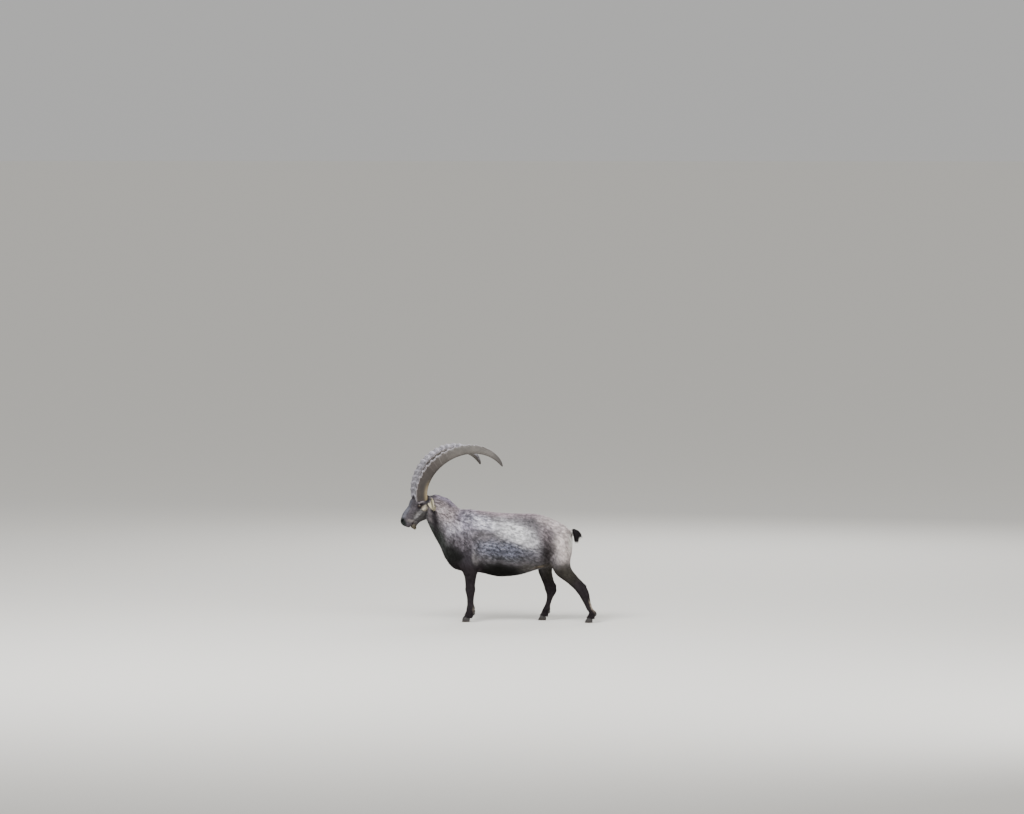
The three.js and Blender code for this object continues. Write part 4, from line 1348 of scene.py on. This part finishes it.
def ear_axes(side):
    """The root of an ear, the way it grows and the way its hollow faces."""
    root = on_head(EAR_ROOT, side)
    along = unit(on_head(EAR_TIP, side) - root)
    mouth = np.array([-0.75, side * 0.62, 0.1])
    return root, along, unit(mouth - along * (mouth @ along))


def ear_inside(local, normal):
    """1 where the surface faces out of the hollow of its ear."""
    inside = np.zeros(len(local))
    for side in SIDES.values():
        _, _, mouth = ear_axes(side)
        mine = local[:, 1] * side > 0
        inside = np.where(mine, rise(normal @ (HEAD_AXES @ mouth), -0.1, 0.5), inside)
    return inside


def ear_coat(roots, n, ink, way, on_ear):
    """The ears' colours and lie: hair runs to the tip, pale in the hollow and darker towards its
    middle as painted shade.
    """
    local = head_local(roots)
    inside = ear_inside(local, n)
    for side in SIDES.values():
        mine = on_ear & (local[:, 1] * side > 0)
        root, along, mouth = ear_axes(side)
        across = np.cross(along, mouth)
        off = np.abs((local - root) @ across)
        # Painted shade: the hollow darkens towards its middle, where it is deepest.
        deep = (1 - rise(off, 2, 17)) * inside
        tone = colour("ear_back") + (colour("ear_inside") - colour("ear_back")) * inside[:, None]
        tone = tone * (1 - 0.6 * deep)[:, None]
        ink = np.where(mine[:, None], tone, ink)
        way = np.where(mine[:, None], HEAD_AXES @ along, way)
    return ink, way


# ---------------------------------------------------------------------------------------------
# Horns, eyes, claws and locks


def horn_frames(side, shares):
    """The middle line of a horn and its front and outward directions: it leaves the brow and turns
    back by 172.3 (1.29 t - 1.31 t^2 + 1.02 t^3) degrees while it spreads sideways."""
    steps = 60
    t = np.arange(steps + 1) / steps
    turned = 172.3 * (1.29 * t - 1.31 * t**2 + 1.02 * t**3)
    heading = np.radians(100.8 - turned)
    reach = sizes().horn_length / steps
    x = HORN_ROOT[0] + np.r_[0, np.cumsum(np.cos(heading[:-1]))] * reach
    y = side * (HORN_ROOT[1] + sizes().horn_spread * (1.1 * t - 0.1 * t * t))
    z = HORN_ROOT[2] + np.r_[0, np.cumsum(np.sin(heading[:-1]))] * reach
    path = curve(np.stack([x, y, z], 1), np.linspace(0, 1, 1201))
    run = np.r_[0, np.cumsum(np.linalg.norm(np.diff(path, axis=0), axis=1))]
    at = lambda s: np.stack([np.interp(s * run[-1], run, path[:, i]) for i in range(3)], 1)
    centre = at(shares)
    along = unit(at(np.minimum(shares + 0.002, 1)) - at(np.maximum(shares - 0.002, 0)))
    outward = unit(np.array([0, side, 0]) - side * along[:, 1:2] * along)
    twist = (side * np.radians(8 + 15 * shares))[:, None]
    outward = outward * np.cos(twist) + np.cross(along, outward) * np.sin(twist)
    front = unit(np.cross(along, outward) * side)
    return centre, front, outward


def horn_form(side, rings=420, around=56):
    """One horn: a rounded oblong section, 19 knobs across its front face, rings of growth between
    them all round and fine grooves along it."""
    t = np.r_[np.zeros(6), np.linspace(0, 1, rings - 6)]
    centre, front, outward = horn_frames(side, t)
    sunk = np.r_[np.linspace(30, 5, 6), np.zeros(rings - 6)]
    centre = centre - unit(centre[8] - centre[6]) * sunk[:, None]
    turn = 2 * np.pi * np.arange(around) / around
    c, s = np.cos(turn)[None, :], np.sin(turn)[None, :]
    tt = t[:, None]
    thin = np.sqrt(np.maximum(1 - tt**5, 0)) * (1 - 0.45 * tt + 0.1 * tt**2)
    bumps = np.maximum(0, np.sin(np.pi * np.minimum(1, tt / 0.84))) ** 0.4
    phase = sizes().horn_knobs * tt**0.92
    crest = np.maximum(0, np.cos(2 * np.pi * phase)) ** 1.2
    knob = 7.5 * bumps * crest
    forward = np.sign(c) * np.abs(c) ** 0.7
    broad = np.sign(s) * np.abs(s) ** 0.8 * (0.86 + 0.22 * forward)
    waver = 0.10 * np.sin(3 * turn + 5 * tt) + 0.35 * np.sin(11 * tt) + 0.2 * np.sin(37 * tt)
    growth = np.maximum(0, np.cos(2 * np.pi * (phase * 2.5 + waver))) ** 7
    growth = growth * (0.6 + 0.4 * np.sin(23 * tt + 2 * c))
    fine = 0.5 * np.cos(2 * np.pi * phase * 7) + 0.5 * np.cos(2 * np.pi * phase * 4.3 + 2 * c)
    groove = 0.35 * np.cos(17 * turn + 3 * np.sin(9 * tt)) * (1 - tt)
    relief = (-0.55 * growth + 0.3 * fine + groove) * (1 - tt**4)
    relief = relief - 5 * (1 - rise(-sunk[:, None], -20, 0))
    face = np.clip(2 * c, 0, 1)
    reach_front = sizes().horn_depth * 0.5 * thin * forward + knob * face + relief * forward
    reach_side = sizes().horn_breadth * 0.5 * thin * broad + relief * broad
    reach_side = reach_side + 2.2 * bumps * crest * np.sign(s) * face * np.abs(s)
    ring = (
        centre[:, None, :]
        + front[:, None, :] * reach_front[..., None]
        + outward[:, None, :] * reach_side[..., None]
    )
    first = centre[0] - unit(centre[1] - centre[0]) * 3
    last = centre[-1] + unit(centre[-1] - centre[-2]) * 3
    points, faces = loft(ring, first, last)
    rough = grain(ring.reshape(-1, 3), 7, 33).reshape(ring.shape[:2])
    reach_in = 0.5 * np.maximum(0, -s)
    on_front = rise(c + reach_in + 0.12 * rough, 0.64, 0.80)
    edge = np.exp(-(((c + reach_in + 0.05 * rough - 0.72) / 0.08) ** 2))
    edge = edge * (1 - rise(tt, 0.75, 0.92))
    lines = np.maximum(0, np.cos(2 * np.pi * (phase + waver))) ** 26
    lines = lines * (0.45 + 0.55 * np.sin(17 * tt + 1))
    lines = np.clip(lines, 0, 1) * (1 - on_front) * rise(tt, 0.18, 0.3) * (1 - rise(tt, 0.5, 0.7))
    mix = lambda a, b, share: a + (b - a) * share[..., None]
    ink = mix(colour("horn_side") + 0 * ring, colour("horn_middle"), rise(tt, 0.28, 0.6) + 0 * c)
    # Painted shade between the knobs: the front is paler on their crests and darker between them.
    knob_shading = 0.55 + 0.5 * np.maximum(0, np.cos(2 * np.pi * phase)) ** 0.7 + 0.35 * rough
    knob_shading = knob_shading * (0.8 + 0.45 * rise(tt, 0.1, 0.5))
    ink = mix(ink, colour("horn_front") * knob_shading[..., None], on_front)
    patchy = grain(ring.reshape(-1, 3), 35, 31) + 0.8 * grain(ring.reshape(-1, 3), 9, 32)
    ink = ink * (1 + 0.16 * patchy.reshape(ring.shape[:2]))[..., None]
    ink = mix(ink, colour("horn_line"), 0.16 * lines + 0.32 * edge)
    base = (1 - rise(tt, 0.05, 0.24)) * rise(-c, 0.1, 0.8)
    ink = mix(ink, colour("horn_base"), 0.85 * base)
    ink = mix(ink, colour("horn_tip"), rise(tt, 0.84, 0.99) * 0.85 + 0 * c)
    ink = np.vstack([ink.reshape(-1, 3), ink[0, 0], colour("horn_tip")])
    return head_place(points), faces, ink


def eye_axes(side):
    """The middle of an eyeball, its optical axis, and its level and upright directions."""
    axis = unit(np.array([-0.32, side * 0.94, 0.06]))
    level = unit(np.cross([0, 0, 1.0], axis))
    up = np.cross(axis, level)
    c, s = math.cos(EYE_TILT), math.sin(EYE_TILT) * side
    return on_head(EYE, side), axis, level * c + up * s, up * c - level * s


def eye_form(side, rings=60, around=64):
    """An eyeball about its optical axis, with a low cornea, an amber iris and a level pupil."""
    radius = sizes().eye_radius
    centre, axis, level, up = eye_axes(side)
    polar = np.pi * ((np.arange(rings) + 0.5) / rings) ** 1.4
    turn = 2 * np.pi * np.arange(around) / around
    p, q = polar[:, None], turn[None, :]
    out = radius + 1.0 * np.maximum(0, np.cos(np.minimum(p / 0.75, 1) * np.pi / 2)) - 1.0
    a, b = np.sin(p) * np.cos(q) * out, np.sin(p) * np.sin(q) * out
    ring = centre + (np.cos(p) * out)[..., None] * axis + a[..., None] * level + b[..., None] * up
    points, faces = loft(ring, centre + axis * radius, centre - axis * (radius - 1))
    reach = np.sqrt(a * a + b * b) + 99 * (p > np.pi / 2)
    fibre = 1 + 0.25 * np.cos(31 * q + 3 * np.cos(7 * q)) * rise(reach, 4, 8)
    ink = colour("iris") * fibre[..., None]
    ink = ink + (colour("eyeball") - ink) * rise(reach, 9.5, 11.5)[..., None]
    slit = np.maximum(np.abs(a) / 7.6, np.abs(b) / 3.2)
    inside = 1 - rise(slit + 99 * (p > np.pi / 2), 0.85, 1.1)
    ink = ink + (colour("pupil") - ink) * inside[..., None]
    ink = np.vstack([ink.reshape(-1, 3), colour("pupil"), colour("eyeball")])
    return head_place(points), faces, ink


def lid_form(side, around=96, section=22):
    """Both lids of an eye: a rounded rim round an almond opening that rides on the eyeball and runs
    out under the skin. At angle q the opening reaches 14.2 |cos| and 7.4 up or 7.8 down."""
    radius = sizes().eye_radius
    centre, axis, level, up = eye_axes(side)
    q = (2 * np.pi * np.arange(around) / around)[:, None]
    above = np.sin(q) > 0
    in_a = 14.2 * np.cos(q)
    in_b = np.where(above, 7.4, 7.8) * np.sin(q) * (1 - 0.15 * np.cos(q) ** 2)
    out_a, out_b = 23.0 * np.cos(q), np.where(above, 15.5, 14.5) * np.sin(q)
    s = np.linspace(0, 1, section // 2)[None, :]
    swell = np.sin(np.pi * np.clip(s * 1.15 + 0.08, 0, 1)) ** 0.7
    rim = 1.1 + np.where(above, 2.9, 1.7) * swell
    crease = np.where(above, 1.0, 0.7) * 1.5 * np.exp(-(((s - 0.52) / 0.1) ** 2))
    high = radius + rim - crease - 5.0 * s**3 + 0 * q
    low = radius - 1.6 + 0 * s + 0 * q
    there_and_back = lambda out, back: np.hstack([out, back[:, ::-1]])
    a, b = in_a + (out_a - in_a) * s, in_b + (out_b - in_b) * s
    a, b, rho = there_and_back(a, a), there_and_back(b, b), there_and_back(high, low)
    flat_reach = np.sqrt(a * a + b * b)
    theta = np.minimum(flat_reach / radius, 1.45)
    scale = np.sin(theta) / np.maximum(flat_reach, 1e-6)
    ring = (
        centre
        + (rho * np.cos(theta))[..., None] * axis
        + (rho * a * scale)[..., None] * level
        + (rho * b * scale)[..., None] * up
    )
    count, each = ring.shape[:2]
    i = np.arange(count * each).reshape(count, each)
    j = np.roll(i, -1, axis=0)
    k, l = np.roll(j, -1, axis=1), np.roll(i, -1, axis=1)
    faces = np.stack([i, j, k], -1).reshape(-1, 3), np.stack([i, k, l], -1).reshape(-1, 3)
    points = ring.reshape(-1, 3)
    return head_place(points), outwards(points, np.vstack(faces))


def claw_form(toe, y, around=48, rings_each=6):
    """One claw: a flat sole, a sloping toe and a low heel, with fine growth rings."""
    size, tall = sizes().claw_length, sizes().claw_height
    rows = [
        (toe, toe + size, 0.0, 12.2),
        (toe + 4, toe + size + 1, tall * 0.4, 12.8),
        (toe + 15, toe + size - 2, tall * 0.8, 12.0),
        (toe + 24, toe + size - 10, tall, 8.0),
    ]
    t = np.linspace(0, 1, 3 * rings_each + 1)
    front, back, z, w = curve(np.array(rows), t).T[:, :, None]
    z = z - z[0]
    turn = (2 * np.pi * np.arange(around) / around)[None, :]
    c, s = np.cos(turn), np.sin(turn)
    power = lambda v: np.sign(v) * np.abs(v) ** 0.85
    along = np.where(c > 0, 0.58 + 0.42 * power(c), 0.58 + 0.58 * power(c))
    ring_mark = 0.25 * np.cos(2 * np.pi * t * 7)[:, None] * (1 - t)[:, None]
    x = back + (front - back) * along - ring_mark * c
    across = (w + ring_mark) * power(s) * (1 - 0.22 * np.clip(c, 0, 1) ** 2)
    ring = np.stack([x, y + across, z + 0 * c], -1)
    low = np.array([toe + size * 0.5, y, 0.0])
    high = np.array([toe + size * 0.62, y, tall + 1.5])
    points, faces = loft(ring, low, high)
    ink = colour("claw") * np.ones((len(points), 1))
    worn = 1 - rise(points[:, 2], 1, 9)
    ink = ink + (colour("claw_edge") - ink) * (0.7 * worn)[:, None]
    ink = ink * (1 + 0.2 * np.cos(points[:, 2] * 1.25))[:, None]
    return points, faces, ink


def dewclaw_form(x, y):
    """One dewclaw behind the pastern, pointing down."""
    points, faces = ball((x, y, 66), (9, 7.5, 14), 0.35, 16, 24)
    return points, faces, np.tile(colour("claw"), (len(points), 1))


def locks(roots, outward, lie, fall, hair, breadth, ink, u, v, steps=6):
    """Tapered four-sided locks that leave their roots along lie and bend to fall as they grow."""
    heading, place, rings, corner_uv = unit(lie), roots, [], []
    for i in range(steps):
        t = i / steps
        across = unit(np.cross(outward, heading))
        up = np.cross(heading, across)
        half = breadth * 0.5 * ((1 - t**2.2) * (0.7 + 0.9 * t - 0.6 * t * t))
        ways = (across * half, up * half * 0.5, -across * half, -up * half * 0.5)
        rings.append(np.stack([place + way for way in ways], 1))
        corner_uv.append(np.array([[-1, 0], [0, 1], [1, 0], [0, -1]]) * (1 - 0.7 * i / steps))
        place = place + heading * (hair / steps)[:, None]
        heading = unit(heading + (fall - heading) * 0.3)
    # Painted shade: darker at the root, paler towards the tip.
    shades = np.r_[np.linspace(0.7, 1.0, steps), 1.1]
    corner_uv = np.vstack(corner_uv + [[[0, 0]]])
    return strands(rings, place, 4, ink, shades, u, v, corner_uv)


def beard_locks(count=560):
    """The short beard under the chin."""
    draw = np.random.default_rng(11)
    turn = 2 * np.pi * draw.random(count)
    wide = np.sqrt(draw.random(count))
    outward = np.stack([np.cos(turn), np.sin(turn), 0.05 + 0 * turn], 1)
    roots = on_head(BEARD, 0) + outward * [22, 15, 0] * wide[:, None]
    roots[:, 2] += 2 + 4 * wide
    lie = np.array([0.3, 0, -1]) - outward * 0.25 * wide[:, None]
    fall = unit(np.array([0.6, 0, -0.8]) - outward * 0.35)
    hair = sizes().beard_length * (1.15 - 0.65 * wide) * (0.45 + 0.65 * draw.random(count))
    ink = colour("chin") * np.exp(0.25 * draw.normal(0, 1, count))[:, None]
    grown = locks(roots, outward, unit(lie), fall, hair, 1.5, ink, turn / (2 * np.pi), wide)
    return head_place(grown[0]), *grown[1:]


def tail_locks(count=760):
    """The tail's long hair, which leaves its root all round and hangs down behind the rump."""
    draw = np.random.default_rng(5)
    along = draw.random(count) ** 0.8
    turn = 2 * np.pi * draw.random(count)
    outward = unit(np.stack([0.15 + 0 * turn, np.cos(turn), np.sin(turn)], 1))
    middle = np.stack([np.interp(along, [0, 0.5, 1], axis) for axis in zip(*TAIL_LINE)], 1)
    roots = middle + outward * (14 - 7 * along)[:, None]
    lie = np.array([0.34, 0, -0.50]) + outward * (0.36 + 0.25 * draw.random(count))[:, None]
    back = 0.18 * draw.random(count) - 0.04
    fall = unit(np.stack([back, 0.12 * np.cos(turn), np.full(count, -0.95)], 1))
    hair = sizes().tail_length * (1.02 - 0.15 * along) * (0.62 + 0.42 * draw.random(count))
    ink = colour("tail") * np.exp(0.2 * draw.normal(0, 1, count))[:, None]
    return locks(roots, outward, unit(lie), fall, hair, 3.4, ink, turn / (2 * np.pi), along)


# ---------------------------------------------------------------------------------------------
# Operators


def put(name, form, finish, slot, replaced=()):
    """Makes a piece from its points, triangles, colours and, if given, its map."""
    points, faces, ink, *uv = form
    piece = make(name, points, faces, finish, *uv, colours=ink)
    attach(piece, "root")
    if replaced:
        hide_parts(*replaced)


class BuildHide(bpy.types.Operator):
    """Builds the skin and its coat"""

    bl_idname = "ibex.build_hide"
    bl_label = "Skin and coat"

    def execute(self, context):
        points, faces = joined_skin()
        ears = on_ears(points)
        ink = markings(points)[0]
        ink, _ = ear_coat(points, normals_of(points, faces), ink, ink, ears)
        # The bare skin is painted darker than the tufts, as painted shade between the roots of the
        # coat.
        put("skin", (points, faces, ink * 0.88), coat_finish(), "coat_trunk", FLESH_NODES)
        for name, form in grow_coat(points, faces, ears):
            slot = SLOTS.get(name.split("_")[0], "coat_trunk")
            put("coat_" + name, form, coat_finish(), slot)
        return {"FINISHED"}


class BuildLocks(bpy.types.Operator):
    """Builds the beard and the tail's hair"""

    bl_idname = "ibex.build_locks"
    bl_label = "Beard and tail hair"

    def execute(self, context):
        put("coat_beard", beard_locks(), coat_finish(), "coat_face")
        put("coat_tail_hair", tail_locks(), coat_finish(), "coat_dark")
        return {"FINISHED"}


class BuildHorns(bpy.types.Operator):
    """Builds both horns"""

    bl_idname = "ibex.build_horns"
    bl_label = "Horns"

    def execute(self, context):
        for name, side in SIDES.items():
            put("ridged_horn_" + name, horn_form(side), horn_finish(), "horn", ["horn_" + name])
        return {"FINISHED"}


class BuildEyes(bpy.types.Operator):
    """Builds the eyes and their lids"""

    bl_idname = "ibex.build_eyes"
    bl_label = "Eyes and lids"

    def execute(self, context):
        for name, side in SIDES.items():
            put("eyeball_" + name, eye_form(side), eye_finish(), "eye", ["eye_" + name])
            points, faces = lid_form(side)
            ink = np.tile(colour("lids"), (len(points), 1))
            put("lids_" + name, (points, faces, ink), coat_finish(), "coat_face")
        return {"FINISHED"}


class BuildClaws(bpy.types.Operator):
    """Builds the claws and dewclaws of every foot"""

    bl_idname = "ibex.build_claws"
    bl_label = "Claws"

    def execute(self, context):
        for name, (toe, y, heel) in FEET.items():
            outer = math.copysign(1, y)
            forms = [claw_form(toe, y + outer * off) for off in (-13.6, 13.6)]
            forms += [dewclaw_form(heel, y + outer * off) for off in (-12, 12)]
            points, faces = together([form[:2] for form in forms])
            ink = np.vstack([form[2] for form in forms])
            nodes = [
                f"{kind}_{name}_{place}"
                for kind in ("claw", "dewclaw")
                for place in ("inner", "outer")
            ]
            put("claws_" + name, (points, faces, ink), claw_finish(), "hoof", nodes)
        return {"FINISHED"}


class BuildStage(bpy.types.Operator):
    """Sets the floor, the lights and the camera"""

    bl_idname = "ibex.build_stage"
    bl_label = "Stage"

    def execute(self, context):
        scene = context.scene
        corners = np.array([[-1, -1, 0], [1, -1, 0], [1, 1, 0], [-1, 1, 0]]) * FLOOR_REACH
        floor = make("studio_floor", corners - SHIFT, np.array([[0, 1, 2, 3]]), floor_finish())
        world = bpy.data.worlds.new("studio")
        world.use_nodes = True
        tree = world.node_tree
        way = add(tree, "ShaderNodeTexCoord").outputs["Generated"]
        height = add(tree, "ShaderNodeSeparateXYZ", {"Vector": way}).outputs["Z"]
        glow = add(tree, "ShaderNodeMapRange", {"Value": height, "To Min": 0.50, "To Max": 0.86})
        sky = tree.nodes["Background"]
        sky.inputs["Color"].default_value = (1.0, 0.995, 0.98, 1)
        tree.links.new(glow.outputs["Result"], sky.inputs["Strength"])
        scene.world = world
        for name, place, size, power in LIGHTS:
            data = bpy.data.lights.new(name, "AREA")
            data.size, data.energy = size, power
            lamp = bpy.data.objects.new(name, data)
            lamp.location = place
            aim = Vector(place) - Vector(LIT_PLACE)
            lamp.rotation_euler = aim.to_track_quat("Z", "Y").to_euler()
            lamp.visible_camera = False
            scene.collection.objects.link(lamp)
        turn, tilt = math.radians(3), math.radians(3)
        right = np.array([math.cos(turn), math.sin(turn), 0])
        level = np.array([math.sin(turn), -math.cos(turn), 0])
        back = level * math.cos(tilt) + np.array([0, 0, math.sin(tilt)])
        up = np.cross(back, right)
        across, high, away = CAMERA_PLACE
        place = SHIFT * 0.001 + right * across + up * high + back * away
        data = bpy.data.cameras.new("camera")
        data.lens, data.sensor_width, data.clip_end = 200, 36, 2000
        camera = bpy.data.objects.new("camera", data)
        camera.matrix_world = Matrix(
            [[right[i], up[i], back[i], place[i]] for i in range(3)] + [[0, 0, 0, 1]]
        )
        scene.collection.objects.link(camera)
        scene.camera = camera
        return {"FINISHED"}


class IbexPanel(bpy.types.Panel):
    """Lists the operators and sizes of the ibex"""

    bl_idname = "VIEW3D_PT_ibex"
    bl_label = "Ibex"
    bl_space_type = "VIEW_3D"
    bl_region_type = "UI"
    bl_category = "Ibex"

    def draw(self, context):
        for operator in OPERATORS:
            self.layout.operator(operator.bl_idname)
        for name in IbexSizes.__annotations__:
            self.layout.prop(context.scene.ibex_sizes, name)
        for name in IbexColours.__annotations__:
            self.layout.prop(context.scene.ibex_colours, name)


OPERATORS = (BuildHide, BuildLocks, BuildHorns, BuildEyes, BuildClaws, BuildStage)
CLASSES = (IbexSizes, IbexColours, *OPERATORS, IbexPanel)


def register():
    for cls in CLASSES:
        bpy.utils.register_class(cls)
    bpy.types.Scene.ibex_sizes = PointerProperty(type=IbexSizes)
    bpy.types.Scene.ibex_colours = PointerProperty(type=IbexColours)


def unregister():
    del bpy.types.Scene.ibex_sizes
    del bpy.types.Scene.ibex_colours
    for cls in reversed(CLASSES):
        bpy.utils.unregister_class(cls)


def main():
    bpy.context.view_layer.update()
    register()
    for operator in OPERATORS:
        getattr(bpy.ops.ibex, operator.bl_idname.split(".")[1])()


if __name__ == "__main__":
    main()
